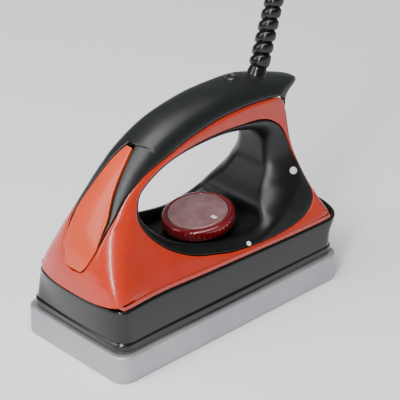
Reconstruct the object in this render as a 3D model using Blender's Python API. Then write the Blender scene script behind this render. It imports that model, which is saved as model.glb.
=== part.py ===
"""Waxing iron with a thermostat dial, a looped handle and a mains lead.

Run with: blender --background --python part.py
Every dimension below is in millimetres. Meshes are scaled to metres when they are made.
Frame: +X towards the nose, +Y to the left of a person behind the iron, +Z up.
The origin is the centre of the sole plate's flat underside.
"""

import math

import bmesh
import bpy
import numpy as np
from mathutils import Matrix, Vector

# ---------------------------------------------------------------- driving dimensions
METRES = 0.001
GAP = 0.3            # clearance between pieces that rest on one another
SEAM = 0.65          # visible joint between two mouldings
WALL = 2.2           # wall of the plastic mouldings

PLATE_LENGTH = 165.0
PLATE_WIDTH = 80.0
PLATE_THICK = 16.0
PLATE_CORNER = 8.0

SKIRT_FOOT = 17.8    # height of the skirt's lower edge
SKIRT_INSET = 2.6    # how far the skirt's foot stays inside the plate's outline
RIM_POWER = 2.5      # roundness of the body's edges: 2 is a circle, more is squarer
# How far the sides draw in towards the opening, and over what distance, by station. The rear stay is
# chamfered.
DRAW_IN = ((0, 6), (6, 6), (7, 9), (8, 12), (9, 13), (10, 12.5), (11, 9), (12, 6), (20, 6))
DRAW_OVER = ((0, 6), (6, 6), (7, 10), (8, 15), (9, 20), (10, 22), (11, 14), (12, 6), (20, 6))

# Each covers (u, s): places on the body's skin, as skin_point below counts them.
GRIP_TIP, GRIP_FRONT, GRIP_END = 19.55, 22.3, 27.6
PANEL_TIP = 18.05
GRIP_EDGE = (
    (19.55, 1.6), (20.4, 1.35), (21.3, 1.15), (22.3, 1.08), (24.5, 1.1), (26, 1.1), (27.6, 1.15),
)
PANEL_EDGE = (
    (18.05, 2.0), (18.5375, 1.8), (19.2, 1.65), (20.2, 1.565), (20.8, 1.61), (21.3, 1.7), (21.84, 1.82),
    (22.3, 1.95),
)
HOOK_REACH = 20.0    # how far the grip's rear end stands out behind the handle

HOOK_DROP = 3.5

DIAL_X, DIAL_Z = -10.0, 47.2    # centre of the dial's underside
DIAL_TILT = 8.0      # degrees: the dial leans towards the nose
DIAL_RADIUS = 20.5
DIAL_THICK = 7.0
SHELF_Z = 43.3       # floor of the tub under the dial
SPINDLE_RADIUS = 3.0

ELEMENT_RADIUS = 3.3
ELEMENT_HALF_GAP = 24.0
ELEMENT_Z = 13.5
SHIELD_Z = 34.8
POSTS = ((34, 14), (34, -14), (-57, 0))
LAMP = (9.6, -0.28)  # (u, s) of the indicator lamp on the left side
MARK = (13.7, -0.3)

CORD_DIAMETER = 7.0
CORD_LEAN = 17.5     # degrees that the lead leans back where it leaves the handle
EXIT_X, EXIT_Z = -53.0, 121.8
BOOT_LENGTH = 58.0
BOOT_DEPTH = 3.0     # how far the boot goes into the handle
BOOT_RADIUS = 5.8
COIL_CENTRE = (-249.0, 12.0)
COIL_RADIUS = 40.5   # of the middle turn
COIL_TURNS, COIL_LAYERS = 3, 2
COIL_LIFT = 1.2      # the coil rests on its tie
PLUG_RADIUS = 18.5

# Stations around the handle opening, each with three points in the side view (x, z):
# the opening's edge, the edge of the black liner round it, and the body's outer edge.
# From the nose, over the handle, down the rear stay, and back along the skirt's top edge.
STATIONS = (
    ((47.3, 80.5), (51, 80.5), (70.5, 77)),
    ((44, 89), (47, 91.5), (60, 92.5)),
    ((32, 96), (34, 99.5), (44, 108)),
    ((16, 100.5), (17, 104), (22, 119.5)),
    ((-3, 102), (-3, 106), (-3, 125)),
    ((-20, 101.5), (-22, 106), (-24, 126)),
    ((-38, 97.5), (-42, 104), (-46, 124.5)),
    ((-47.5, 91), (-54, 97.5), (-60.5, 117.5)),
    ((-50, 81.5), (-60, 88), (-65.5, 102)),
    ((-48.5, 71.5), (-63.5, 77), (-67.5, 84)),
    ((-42.5, 62.5), (-68, 65.5), (-72, 67)),
    ((-36, 55.5), (-70, 53), (-79, 51)),
    ((-33, 49.5), (-60, 44.5), (-87, 37)),
    ((-24, 47), (-37, 41.6), (-52, 37.6)),
    ((-10, 47.4), (-10, 43), (-16, 38.8)),
    ((4.5, 50), (6, 46.2), (18, 40)),
    ((18.5, 54), (21, 50.5), (50, 41.2)),
    ((31, 60), (34, 57.3), (81.5, 40)),
    ((39.5, 67), (42.6, 64.6), (80.3, 52)),
    ((44.8, 73.5), (48.3, 72), (76.5, 64.5)),
)
# Depth of the tub that the dial sits in, below the opening's lips, by station.
TUB = ((11, 0), (12, 1.5), (13, 3.2), (14, 4.1), (15, 6.6), (16, 9), (17, 7), (18, 3), (19, 0))
REAR_CORNER, NOSE_CORNER = 12, 17       # stations where the outer edge turns sharply
LOOP = len(STATIONS)
TINY = 1e-5
# Half width of the body against height.
WIDTHS = (
    (30, 36.0), (40, 34.0), (50, 30.5), (60, 26.5), (70, 23), (80, 19.7), (90, 17.3), (100, 16), (130, 15.2),
)
# Depth of the rounding along the outer edge, by station, starting at the nose's foot.
ROUNDING = (
    (17, 9), (18, 12), (19, 14), (20, 15), (22, 14.5), (24, 14.5), (26, 13), (27, 9), (28, 8.5), (32, 9),
)


# ---------------------------------------------------------------- curves
def smooth_curve(points, closed=False):
    """A function of t that runs smoothly through the points, point i at t = i."""
    points = np.array(points, float)
    count = len(points)

    def at(t):
        if closed:
            t = t % count
        i = min(int(math.floor(t)), count - 1 if closed else count - 2)
        i = max(i, 0)
        f = t - i
        if closed:
            p0, p1, p2, p3 = (points[(i + k) % count] for k in (-1, 0, 1, 2))
        else:
            p1, p2 = points[i], points[i + 1]
            p0 = points[i - 1] if i > 0 else 2 * p1 - p2
            p3 = points[i + 2] if i + 2 < count else 2 * p2 - p1
        bend = (2 * p0 - 5 * p1 + 4 * p2 - p3) * f**2 + (3 * p1 - p0 - 3 * p2 + p3) * f**3
        return 0.5 * (2 * p1 + (p2 - p0) * f + bend)

    return at


OPENING = smooth_curve([s[0] for s in STATIONS], closed=True)
LINER = smooth_curve([s[1] for s in STATIONS], closed=True)
UPPER_EDGE = smooth_curve([STATIONS[k % LOOP][2] for k in range(NOSE_CORNER, LOOP + REAR_CORNER + 1)])
LOWER_EDGE = smooth_curve([STATIONS[k][2] for k in range(REAR_CORNER, NOSE_CORNER + 1)])
UPPER_LAST = LOOP + REAR_CORNER - NOSE_CORNER


def outer(u):
    """The body's outer edge in the side view."""
    u = u % LOOP
    if REAR_CORNER <= u <= NOSE_CORNER:
        return LOWER_EDGE(u - REAR_CORNER)
    return UPPER_EDGE((u - NOSE_CORNER) % LOOP)


def table(rows):
    """A function that reads between the rows of a table."""
    keys, values = zip(*rows)
    return lambda x: float(np.interp(x, keys, values))


HALF_WIDTH = table(WIDTHS)
TUB_DEPTH = table(TUB)
DRAW_IN_AT = table(DRAW_IN)
DRAW_OVER_AT = table(DRAW_OVER)
EDGE_SAMPLES = np.linspace(0, UPPER_LAST, 3000)
EDGE_LINE = np.array([UPPER_EDGE(t) for t in EDGE_SAMPLES])
EDGE_LINE = np.vstack([EDGE_LINE[0] + (0, -40), EDGE_LINE, EDGE_LINE[-1] + (-12, -40)])
EDGE_SAMPLES = np.concatenate([[0], EDGE_SAMPLES, [UPPER_LAST]])
ROUND_AT = table([(k - NOSE_CORNER, r) for k, r in ROUNDING])


def edge_distance(xz):
    """(distance to the outer edge, depth of the rounding there)."""
    a, b = EDGE_LINE[:-1], EDGE_LINE[1:]
    d = b - a
    t = np.clip(((xz - a) * d).sum(1) / (d * d).sum(1), 0, 1)
    away = np.linalg.norm(a + t[:, None] * d - xz, axis=1)
    i = int(away.argmin())
    sample = EDGE_SAMPLES[i] + t[i] * (EDGE_SAMPLES[i + 1] - EDGE_SAMPLES[i])
    return float(away[i]), ROUND_AT(sample)


def rounded(share, power):
    """Height of a rounded edge, 0 at its foot and 1 from share = 1 on."""
    share = min(max(share, 0.0), 1.0)
    return (1 - (1 - share) ** power) ** (1 / power)


def half_width(xz, from_opening, around):
    """Half the body's width at a point of the side view."""
    away, depth = edge_distance(xz)
    side = HALF_WIDTH(xz[1]) * rounded(away / depth, RIM_POWER)
    turn = 1 - rounded(from_opening / DRAW_OVER_AT(around), 1.6)
    return side - min(DRAW_IN_AT(around), 0.6 * side) * turn


def skin_point(u, s):
    """A point of the body's skin. s runs from -2 (middle of the opening's wall), -1 (its left edge),
    0 (edge of the liner) to 2 (the middle of the outer edge), and on down the right side."""
    if s > 2:
        return skin_point(u, 4 - s) * (1, -1, 1)
    if s < -2:
        return skin_point(u, -4 - s) * (1, -1, 1)
    inner, middle, edge = OPENING(u), LINER(u), outer(u)
    if s <= -1:
        across = min(max((s + 1.16) / 0.16, 0.0), 1.0)
        dip = TUB_DEPTH(u % LOOP) * (1 - across**2 * (3 - 2 * across))
        return np.array([inner[0], half_width(inner, 0.0, u % LOOP) * (s + 2), inner[1] - dip])
    if s <= 0:
        xz = inner + (middle - inner) * (1 + s)
    else:
        length = np.linalg.norm(middle - edge)
        depth = min(edge_distance(middle * 0.02 + edge * 0.98)[1], 0.9 * length)
        turn = math.radians(90) * (s - 1)
        if s >= 1:
            share = depth / length * (1 - math.sin(turn) ** (2 / RIM_POWER))
        else:
            share = depth / length + (1 - depth / length) * (1 - s)
        around = u % LOOP
        if REAR_CORNER <= around <= NOSE_CORNER:
            blend = min(around - REAR_CORNER, NOSE_CORNER - around, 1.0)
            share = share * (1 - blend) + (2 - s) / 2 * blend
        xz = edge + (middle - edge) * share
    y = half_width(xz, float(np.linalg.norm(xz - inner)), u % LOOP)
    if s > 2 - TINY and not REAR_CORNER < u % LOOP < NOSE_CORNER:
        y = 0.0
    return np.array([xz[0], y, xz[1]])


def moved(u, s, distance):
    """The value of s that lies this many millimetres further across the skin."""
    step = 0.01 if distance > 0 else -0.01
    rate = np.linalg.norm(skin_point(u, s + step) - skin_point(u, s)) / 0.01
    return s + distance / max(rate, 1.0)


def grip_edge(u):
    """s of the grip cover's lower edge, or 2 where there is no cover."""
    u = u if u > 10 else u + LOOP
    return table(GRIP_EDGE)(u) if GRIP_TIP <= u <= GRIP_END else 2.0


def panel_edge(u):
    """s of the nose panel's edge, or 2 where there is no panel."""
    u = u if u > 10 else u + LOOP
    return table(PANEL_EDGE)(u) if PANEL_TIP <= u <= GRIP_FRONT else 2.0


def hook(u, s):
    """How far the grip's rear end stands out from the skin, as an offset."""
    u = u if u > 10 else u + LOOP
    reach = math.exp(-(((u - 27.1) / 0.42) ** 2)) * math.exp(-(((s - 2) / 0.48) ** 2))
    return np.array([-HOOK_REACH * reach, 0, -HOOK_DROP * reach])


# ---------------------------------------------------------------- making objects
def material(name, colour, roughness, metallic=0.0):
    found = bpy.data.materials.get(name)
    if found:
        return found
    made = bpy.data.materials.new(name)
    made.use_nodes = True
    shader = made.node_tree.nodes["Principled BSDF"]
    shader.inputs["Base Color"].default_value = (*colour, 1)
    shader.inputs["Roughness"].default_value = roughness
    shader.inputs["Metallic"].default_value = metallic
    made.diffuse_color = (*colour, 1)
    return made


ALUMINIUM = material("aluminium", (0.35, 0.35, 0.36), 0.35, 1.0)
STEEL = material("steel", (0.45, 0.45, 0.46), 0.3, 1.0)
BRASS = material("brass", (0.6, 0.42, 0.15), 0.3, 1.0)
CERAMIC = material("ceramic", (0.75, 0.72, 0.64), 0.6)
MICA = material("gasket", (0.32, 0.28, 0.22), 0.8)
ORANGE = material("orange_plastic", (0.55, 0.06, 0.025), 0.25)
BLACK = material("black_plastic", (0.012, 0.012, 0.013), 0.3)
SOFT_BLACK = material("soft_black", (0.014, 0.015, 0.014), 0.55)
RED = material("red_plastic", (0.2, 0.012, 0.015), 0.15)
PALE = material("dial_face", (0.3, 0.22, 0.22), 0.2)
WHITE = material("white", (0.8, 0.8, 0.78), 0.3)
RUBBER = material("rubber", (0.012, 0.012, 0.012), 0.6)


def finish(name, bm, paint, at=None):
    """Makes an object of the mesh, which is in millimetres, with its origin at the point given."""
    bmesh.ops.recalc_face_normals(bm, faces=bm.faces)
    if at is not None:
        bmesh.ops.translate(bm, verts=bm.verts, vec=-Vector(at))
    bmesh.ops.scale(bm, verts=bm.verts, vec=(METRES,) * 3)
    mesh = bpy.data.meshes.new(name)
    bm.to_mesh(mesh)
    bm.free()
    mesh.materials.append(paint)
    mesh.shade_smooth()
    mesh.set_sharp_from_angle(angle=math.radians(35))
    made = bpy.data.objects.new(name, mesh)
    bpy.context.scene.collection.objects.link(made)
    if at is not None:
        made.location = Vector(at) * METRES
    return made


def block(name, low, high, paint, bevel=0.0):
    """A box between two corners."""
    bm = bmesh.new()
    bmesh.ops.create_cube(bm, size=1)
    low, high = Vector(low), Vector(high)
    bmesh.ops.scale(bm, verts=bm.verts, vec=high - low)
    bmesh.ops.translate(bm, verts=bm.verts, vec=(high + low) / 2)
    if bevel:
        upright = [e for e in bm.edges if abs(e.verts[0].co.z - e.verts[1].co.z) > 0.1]
        bmesh.ops.bevel(bm, geom=upright, offset=bevel, segments=4, profile=0.5, affect="EDGES", material=-1)
    return finish(name, bm, paint)


def turned(name, profile, paint, at=(0, 0, 0), axis=(0, 0, 1), steps=24, own_origin=False):
    """A solid of revolution. The profile lists (radius, height along the axis from the point given)."""
    bm = bmesh.new()
    corners = [bm.verts.new((radius, 0, height)) for radius, height in profile]
    closed = profile[0][0] > 0
    edges = [bm.edges.new(pair) for pair in zip(corners, corners[1:])]
    if closed:
        edges.append(bm.edges.new((corners[-1], corners[0])))
    bmesh.ops.spin(
        bm, geom=edges + corners, axis=(0, 0, 1), cent=(0, 0, 0), angle=math.tau, steps=steps, use_merge=True
    )
    bmesh.ops.remove_doubles(bm, verts=bm.verts, dist=0.001)
    turn = Vector((0, 0, 1)).rotation_difference(Vector(axis)).to_matrix().to_4x4()
    bmesh.ops.transform(bm, matrix=Matrix.Translation(at) @ turn, verts=bm.verts)
    return finish(name, bm, paint, at if own_origin else None)


def rod(name, radius, start, end, paint, steps=16):
    """A plain round bar."""
    start, end = Vector(start), Vector(end)
    length = (end - start).length
    profile = [(0, 0), (radius, 0), (radius, length), (0, length)]
    return turned(name, profile, paint, start, end - start, steps)


def screw(name, start, down, length, paint=STEEL, shank=2.0, head=3.6):
    """A pan-head screw: its head's underside is at the start, and the shank runs along the direction."""
    pan = [(0, -2.4), (head * 0.7, -2.2), (head, -1.2), (head, 0)]
    profile = pan + [(shank, 0), (shank, length), (0, length)]
    return turned(name, profile, paint, start, down, 14)


def tube(name, points, radius, paint, sides=2, hidden=False):
    """A round cord or wire through the points, as a curve."""
    curve = bpy.data.curves.new(name, "CURVE")
    curve.dimensions = "3D"
    curve.bevel_depth = radius * METRES
    curve.bevel_resolution = sides
    curve.use_fill_caps = True
    line = curve.splines.new("POLY")
    line.points.add(len(points) - 1)
    for spot, point in zip(line.points, points):
        spot.co = (*(Vector(point) * METRES), 1)
    curve.materials.append(paint)
    made = bpy.data.objects.new(name, curve)
    bpy.context.scene.collection.objects.link(made)
    made.hide_render = hidden
    return made


def along(points, spacing):
    """Evenly spaced points on a smooth curve through the points."""
    curve = smooth_curve(points)
    fine = np.array([curve(t) for t in np.linspace(0, len(points) - 1, 40 * len(points))])
    run = np.concatenate([[0], np.cumsum(np.linalg.norm(np.diff(fine, axis=0), axis=1))])
    count = max(2, round(run[-1] / spacing))
    stops = np.linspace(0, run[-1], count + 1)
    return [tuple(np.interp(d, run, fine[:, k]) for k in range(3)) for d in stops]


def cut(target, cutter, operation="DIFFERENCE"):
    """Takes one shape from another, or joins it on, and hides the one used."""
    cutter.hide_render = True
    cutter.display_type = "WIRE"
    change = target.modifiers.new(cutter.name, "BOOLEAN")
    change.object = cutter
    change.operation = operation
    return target


def bore(target, radius, start, end):
    """A round hole through the target."""
    return cut(target, rod(f"cut_{len(bpy.data.objects)}", radius, start, end, STEEL, 20))


def normal_of(place, u, s):
    """The outward normal of a surface that place(u, s) describes."""
    step = 0.02
    along = place(u + step, s) - place(u - step, s)
    across = place(u, s + step) - place(u, s - step)
    normal = np.cross(along, across)
    return normal / max(np.linalg.norm(normal), 1e-9)


def sheet(name, us, across, place, paint, keep=None, closed=False, wall=WALL):
    """A moulded wall whose outside is a grid of the values u by the values s that across(u) lists.
    The inside lies one wall further in along the surface's own normal, so that joints stay even."""
    columns = len(across(us[0]))
    rows = len(us) + (1 if closed else 0)
    bm = bmesh.new()
    inward = bm.verts.layers.float_vector.new("inward")
    made = bmesh.ops.create_grid(bm, x_segments=columns - 1, y_segments=rows - 1, size=1)
    spots = sorted(made["verts"], key=lambda v: (round(v.co.y, 6), round(v.co.x, 6)))
    address = {spot: divmod(i, columns) for i, spot in enumerate(spots)}
    if keep:
        gone = []
        for face in bm.faces:
            row = min(address[v][0] for v in face.verts)
            column = min(address[v][1] for v in face.verts)
            if not keep(us[row], column):
                gone.append(face)
        bmesh.ops.delete(bm, geom=gone, context="FACES")
    for spot in bm.verts:
        row, column = address[spot]
        u = us[row % len(us)]
        s = across(u)[column]
        spot.co = place(u, s)
        spot[inward] = Vector(place(u, s) - wall * normal_of(place, u, s))
    bmesh.ops.remove_doubles(bm, verts=bm.verts, dist=0.02)
    outside = list(bm.faces)
    bmesh.ops.recalc_face_normals(bm, faces=outside)
    if max(outside, key=lambda f: f.calc_center_median().y).normal.y < 0:
        bmesh.ops.reverse_faces(bm, faces=outside)
    rim = [e for e in bm.edges if e.is_boundary]
    twin = {spot: bm.verts.new(spot[inward]) for spot in list(bm.verts)}
    for face in outside:
        bm.faces.new([twin[v] for v in reversed(face.verts[:])])
    for edge in rim:
        first, second = edge.link_loops[0].vert, edge.link_loops[0].link_loop_next.vert
        bm.faces.new((second, first, twin[first], twin[second]))
    bmesh.ops.scale(bm, verts=bm.verts, vec=(METRES,) * 3)
    mesh = bpy.data.meshes.new(name)
    bm.to_mesh(mesh)
    bm.free()
    mesh.materials.append(paint)
    mesh.shade_smooth()
    mesh.set_sharp_from_angle(angle=math.radians(40))
    made = bpy.data.objects.new(name, mesh)
    bpy.context.scene.collection.objects.link(made)
    return made


def spread(*stops):
    """Values from stop to stop: pairs of (value, cells up to the next one), ending with a plain value."""
    values = []
    for (low, cells), after in zip(stops[:-1], stops[1:]):
        high = after[0] if isinstance(after, tuple) else after
        values += [low + (high - low) * k / cells for k in range(cells)]
    return values + [stops[-1]]


def mirror_s(values):
    """The values of s from the left edge over the middle to the right edge."""
    return values + [4 - s for s in reversed(values[:-1])]


# ---------------------------------------------------------------- the body's mouldings
def make_liner():
    """The black moulding that lines the handle opening, one closed ring."""
    us = spread((0, 24), (12, 10), (17, 6), 20)[:-1]

    def across(u):
        edge = moved(u, 0.0, -SEAM / 2)
        half = [edge, -0.3, -0.6, -0.85, -1, -1.08, -1.16, -1.6]
        return half + [-2] + [-4 - s for s in reversed(half)]

    liner = sheet("opening_liner", us, across, skin_point, BLACK, closed=True)
    foot = Vector((DIAL_X, 0, DIAL_Z))
    bore(liner, SPINDLE_RADIUS + 1.5, foot - 30 * DIAL_AXIS, foot + 4 * DIAL_AXIS)
    spot, normal = Vector(skin_point(*LAMP)), Vector(normal_of(skin_point, *LAMP))
    bore(liner, 2.6, spot - 6 * normal, spot + 6 * normal)
    return liner


def shell_across(u):
    edge = min(grip_edge(u), panel_edge(u))
    first = moved(u, 0.0, SEAM / 2)
    if edge < 2:
        edge = moved(u, edge, -SEAM / 2)
        half = [first + (edge - first) * k / 7 for k in range(8)]
        return half + [4 - s for s in reversed(half)]
    half = [first, 0.35, 0.7, 1, 1.3, 1.55, 1.8, 2 - TINY / 10]
    return half + [4 - s for s in reversed(half)]


def make_shell():
    """The orange body, open below and under the grip cover and the nose panel."""
    top = [(0, 5), (2.3, 1), (2.5, 9), (7.45, 1), (7.6, 1), (7.8, 8)]
    us = spread(*top, (12, 5), (13, 4), (16, 5), (17, 6), (18.05, 3), (18.5375, 3), 20)[:-1]

    def keep(u, column):
        return column != 7

    return sheet("main_shell", us, shell_across, skin_point, ORANGE, keep, closed=True)


def cover_across(u):
    edge = moved(u, min(grip_edge(u), 1.97), SEAM / 2)
    middle = moved(u, panel_edge(u), -SEAM / 2) if PANEL_TIP <= u <= GRIP_FRONT else (edge + 2) / 2
    middle = max(middle, edge + 0.01)
    half = [edge + (middle - edge) * k / 4 for k in range(5)]
    return mirror_s(half + [middle + (2 - middle) * k / 3 for k in (1, 2, 3)])


def make_grip():
    """The soft black cover on top of the handle, forked round the nose panel, with a hook at its rear."""
    us = [u + LOOP if u < 10 else u for u in spread((19.62, 1), (20, 5), (22.3, 1), (22.5, 9), 27.45)]

    def keep(u, column):
        return u >= GRIP_FRONT or not 4 <= column <= 9

    def place(u, s):
        return skin_point(u, s) + hook(u, s)

    cover = sheet("grip_cover", us, cover_across, place, SOFT_BLACK, keep)
    bore(cover, BOOT_RADIUS + 0.4, EXIT - 14 * EXIT_AXIS, EXIT + 8 * EXIT_AXIS)
    bore(cover, 4.0, (-34, 0, 118), (-34, 0, 132))
    return cover


def make_nose_panel():
    """The lighter teardrop panel on the nose."""
    us = spread((18.2125, 2), (18.5375, 3), (20, 4), (21.84, 1), 22.22)

    def across(u):
        edge = moved(u, panel_edge(u), SEAM / 2)
        return mirror_s([min(edge, 1.98) + (2 - min(edge, 1.98)) * k / 3 for k in range(4)])

    return sheet("nose_panel", us, across, skin_point, ORANGE)


def plate_outline(inset, share):
    """Half the plate's outline, from the middle of the rear (0) round the left side to the nose (1)."""
    x, y, r = PLATE_LENGTH / 2 - inset, PLATE_WIDTH / 2 - inset, PLATE_CORNER
    corner = REAR_SHARE
    if share < corner or share > 1 - corner:
        end = -1 if share < 0.5 else 1
        run = min(share, 1 - share) / corner
        across = run * (y - r + math.pi * r / 2)
        if across < y - r:
            return np.array([end * x, across])
        turn = (across - (y - r)) / r
        return np.array([end * (x - r + r * math.cos(turn)), y - r + r * math.sin(turn)])
    run = (share - corner) / (1 - 2 * corner)
    return np.array([-(x - r) + 2 * (x - r) * run, y])


REAR_SHARE = 0.2


def skirt_top(share):
    """The body's lower edge at the same share of the way round."""
    if share < REAR_SHARE:
        u = REAR_CORNER + 0.3 * (share / REAR_SHARE) ** 1.6
    elif share > 1 - REAR_SHARE:
        u = NOSE_CORNER - 0.3 * ((1 - share) / REAR_SHARE) ** 1.6
    else:
        run = (share - REAR_SHARE) / (1 - 2 * REAR_SHARE)
        u = REAR_CORNER + 0.3 + (NOSE_CORNER - REAR_CORNER - 0.6) * run
    return skin_point(u, 2.0)


def skirt_point(share, down):
    """A point of the skirt's outside. share runs 0 to 1 on the left side and on to 2 on the right one."""
    if share > 1:
        return skirt_point(2 - share, down) * (1, -1, 1)
    if share < 0:
        return skirt_point(-share, down) * (1, -1, 1)
    top, foot = skirt_top(share), plate_outline(SKIRT_INSET, share)
    x = top[0] + (foot[0] - top[0]) * down
    y = top[1] + (foot[1] - top[1]) * abs(down) ** 0.8
    z = top[2] - SEAM + (SKIRT_FOOT - top[2] + SEAM) * down
    rear = max(0.0, 1 - share / REAR_SHARE) ** 0.5
    lip = rear * math.exp(-(((down - 0.1) / 0.22) ** 2))
    return np.array([x - 7.5 * lip, y, z + 1.2 * lip])


def make_skirt():
    """The glossy black lower housing."""
    shares = spread((0, 9), (REAR_SHARE, 8), (1 - REAR_SHARE, 9), 1.0)
    shares = shares + [2 - s for s in reversed(shares[1:-1])]
    downs = [1, 0.8, 0.55, 0.35, 0.22, 0.1, 0]

    def across(share):
        return downs

    return sheet("skirt", shares, across, skirt_point, BLACK, closed=True)


# ---------------------------------------------------------------- the sole and what heats it
def element_route():
    half, rear, bend = ELEMENT_HALF_GAP, -56.0, 40.0
    leg = [(rear - 6, half, 27.0), (rear - 6, half, 21.0), (rear - 3, half, 15.2)]
    leg.append((rear + 4, half, ELEMENT_Z))
    arc = [
        (bend + half * math.sin(a), half * math.cos(a), ELEMENT_Z)
        for a in (math.pi * k / 12 for k in range(13))
    ]
    back = [(x, -y, z) for x, y, z in reversed(leg)]
    return leg + arc + back


def make_sole():
    plate = block(
        "sole_plate",
        (-PLATE_LENGTH / 2, -PLATE_WIDTH / 2, 0),
        (PLATE_LENGTH / 2, PLATE_WIDTH / 2, PLATE_THICK),
        ALUMINIUM,
        PLATE_CORNER,
    )
    groove = tube("cut_groove", element_route(), ELEMENT_RADIUS + 0.6, STEEL, 1, True)
    graph = bpy.context.evaluated_depsgraph_get()
    channel = bpy.data.meshes.new_from_object(groove.evaluated_get(graph))
    solid = bpy.data.objects.new("cut_groove_mesh", channel)
    bpy.context.scene.collection.objects.link(solid)
    bpy.data.objects.remove(groove)
    cut(plate, solid)
    tube("heating_element", element_route(), ELEMENT_RADIUS, STEEL, 1)
    for side, y in (("left", ELEMENT_HALF_GAP), ("right", -ELEMENT_HALF_GAP)):
        rod(f"element_terminal_{side}", 1.5, (-62, y, 27.3), (-62, y, 32.3), BRASS, 10)
    for place, x in (("front", 22.0), ("rear", -46.0)):
        strip = block(f"element_clamp_{place}", (x - 5, -30, 17.1), (x + 5, 30, 18.3), STEEL)
        bore(strip, 2.4, (x, 0, 16), (x, 0, 20))
        bore(plate, 2.4, (x, 0, 7), (x, 0, 17))
        screw(f"clamp_screw_{place}", (x, 0, 18.6), (0, 0, -1), 10.5)
    gasket = block("sole_gasket", (-78.5, -36.5, 16.3), (78.5, 36.5, 16.9), MICA, 6)
    cut(gasket, block("cut_gasket", (-74, -32.2, 15), (74, 32.2, 18), MICA, 3))
    for number, (x, y) in enumerate(POSTS):
        low, high = (x, y, PLATE_THICK + GAP), (x, y, SHIELD_Z - GAP)
        post = rod(f"shield_post_{number + 1}", 3.0, low, high, STEEL, 6)
        bore(post, 2.2, (x, y, 22), (x, y, SHIELD_Z + 1))
        screw(f"shield_screw_{number + 1}", (x, y, SHIELD_Z + 1.1), (0, 0, -1), 9, shank=1.8, head=3.4)


def make_shield():
    shield = block("heat_shield", (-66, -29, SHIELD_Z), (64, 29, SHIELD_Z + 0.8), STEEL, 8)
    for x, y in POSTS:
        bore(shield, 2.2, (x, y, SHIELD_Z - 2), (x, y, SHIELD_Z + 3))
    foot = Vector((DIAL_X, 0, DIAL_Z))
    bore(shield, 6.5, foot - 24 * DIAL_AXIS, foot - 8 * DIAL_AXIS)
    for y in (ELEMENT_HALF_GAP, -ELEMENT_HALF_GAP):
        bore(shield, 3.4, (-62, y, SHIELD_Z - 2), (-62, y, SHIELD_Z + 3))
    bore(shield, 4.0, (-31, 20.5, SHIELD_Z - 2), (-31, 20.5, SHIELD_Z + 3))
    return shield


# ---------------------------------------------------------------- thermostat and dial
def make_thermostat():
    foot = Vector((DIAL_X, 0, DIAL_Z))

    def on_axis(height):
        return foot + (height - DIAL_Z) / DIAL_AXIS.z * DIAL_AXIS

    block("bimetal_strip", (-30, -4, 17.2), (2, 4, 18.0), BRASS)
    block("thermostat_base", (-34, -6, 18.6), (-25, 6, 25.5), CERAMIC)
    block("contact_leaf_lower", (-24.7, -2.5, 19.4), (-4, 2.5, 19.8), BRASS)
    block("contact_leaf_upper", (-24.7, -2.5, 21.4), (-6, 2.5, 21.8), BRASS)
    bridge = block("thermostat_bridge", (-24, -9, 28.4), (0, 9, 29.8), STEEL)
    for side in (-1, 1):
        low, high = sorted((side * 7.6, side * 9))
        cut(bridge, block(f"cut_leg_{side}", (-20, low, 16.4), (-4, high, 29), STEEL), "UNION")
        low, high = sorted((side * 8.5, side * 17))
        cut(bridge, block(f"cut_foot_{side}", (-20, low, 16.3), (-4, high, 17.5), STEEL), "UNION")
        bore(bridge, 2.2, (-12, side * 13, 15), (-12, side * 13, 19))
        bore(bpy.data.objects["sole_plate"], 2.2, (-12, side * 13, 8), (-12, side * 13, 17))
        name = "left" if side > 0 else "right"
        screw(f"thermostat_screw_{name}", (-12, side * 13, 17.8), (0, 0, -1), 8, shank=1.8, head=3.2)
    bore(bridge, 5.6, on_axis(26), on_axis(32))
    inside = SPINDLE_RADIUS + 0.06
    bush = [
        (inside, -2.5), (4.8, -2.5), (4.8, 2), (7.2, 2), (7.2, 3.4), (4.8, 3.4), (4.8, 4.4), (inside, 4.4),
    ]
    turned("spindle_bush", bush, BRASS, on_axis(29.2), DIAL_AXIS, 24)
    pin = [(0, 0), (1.2, 0), (1.2, 2.6), (0, 2.6)]
    turned("adjuster_pin", pin, CERAMIC, on_axis(23), DIAL_AXIS, 12, True)
    rod("thermostat_spindle", SPINDLE_RADIUS, on_axis(26), on_axis(50.6), STEEL, 24)
    rod("thermal_fuse", 2.2, (30, -8, 19.2), (30, 8, 19.2), BRASS, 12)


def make_dial():
    foot = Vector((DIAL_X, 0, DIAL_Z))
    r, t = DIAL_RADIUS, DIAL_THICK
    cone = [(4.6, -8), (11, -8), (14, -3.2), (17.6, -0.4), (4.6, -0.4)]
    collar = turned("dial_collar", cone, BLACK, foot, DIAL_AXIS, 32)
    cut(collar, block("cut_collar", (-40, -30, 30), (25, 30, SHELF_Z + 0.9), BLACK))
    socket = SPINDLE_RADIUS + 0.3
    body = [(socket, 0), (r - 1, 0), (r, 0.8), (r, t - 1.4), (r - 1.6, t - 0.2)]
    body += [(r - 3.4, t - 0.2), (r - 3.4, t - 1.8), (socket, t - 1.8)]
    turned("dial_body", body, RED, foot, DIAL_AXIS, 40, True)
    face = [(0, t - 1.5), (r - 3.8, t - 1.5), (r - 3.8, t + 0.1), (r - 5.2, t + 0.5), (0, t + 0.9)]
    turned("dial_face", face, PALE, foot, DIAL_AXIS, 40, True)
    rib = block("dial_pointer", (-1.1, r - 9.5, t + 1.1), (1.1, r - 5.8, t + 1.7), WHITE)
    turn = Vector((0, 0, 1)).rotation_difference(DIAL_AXIS).to_matrix().to_4x4()
    rib.matrix_world = Matrix.Translation(foot * METRES) @ turn
    spot, normal = Vector(skin_point(*MARK)), Vector(normal_of(skin_point, *MARK))
    turned("index_mark", [(0, 0.35), (1.3, 0.35), (1.1, 0.8), (0, 0.8)], WHITE, spot, normal, 12)


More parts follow.
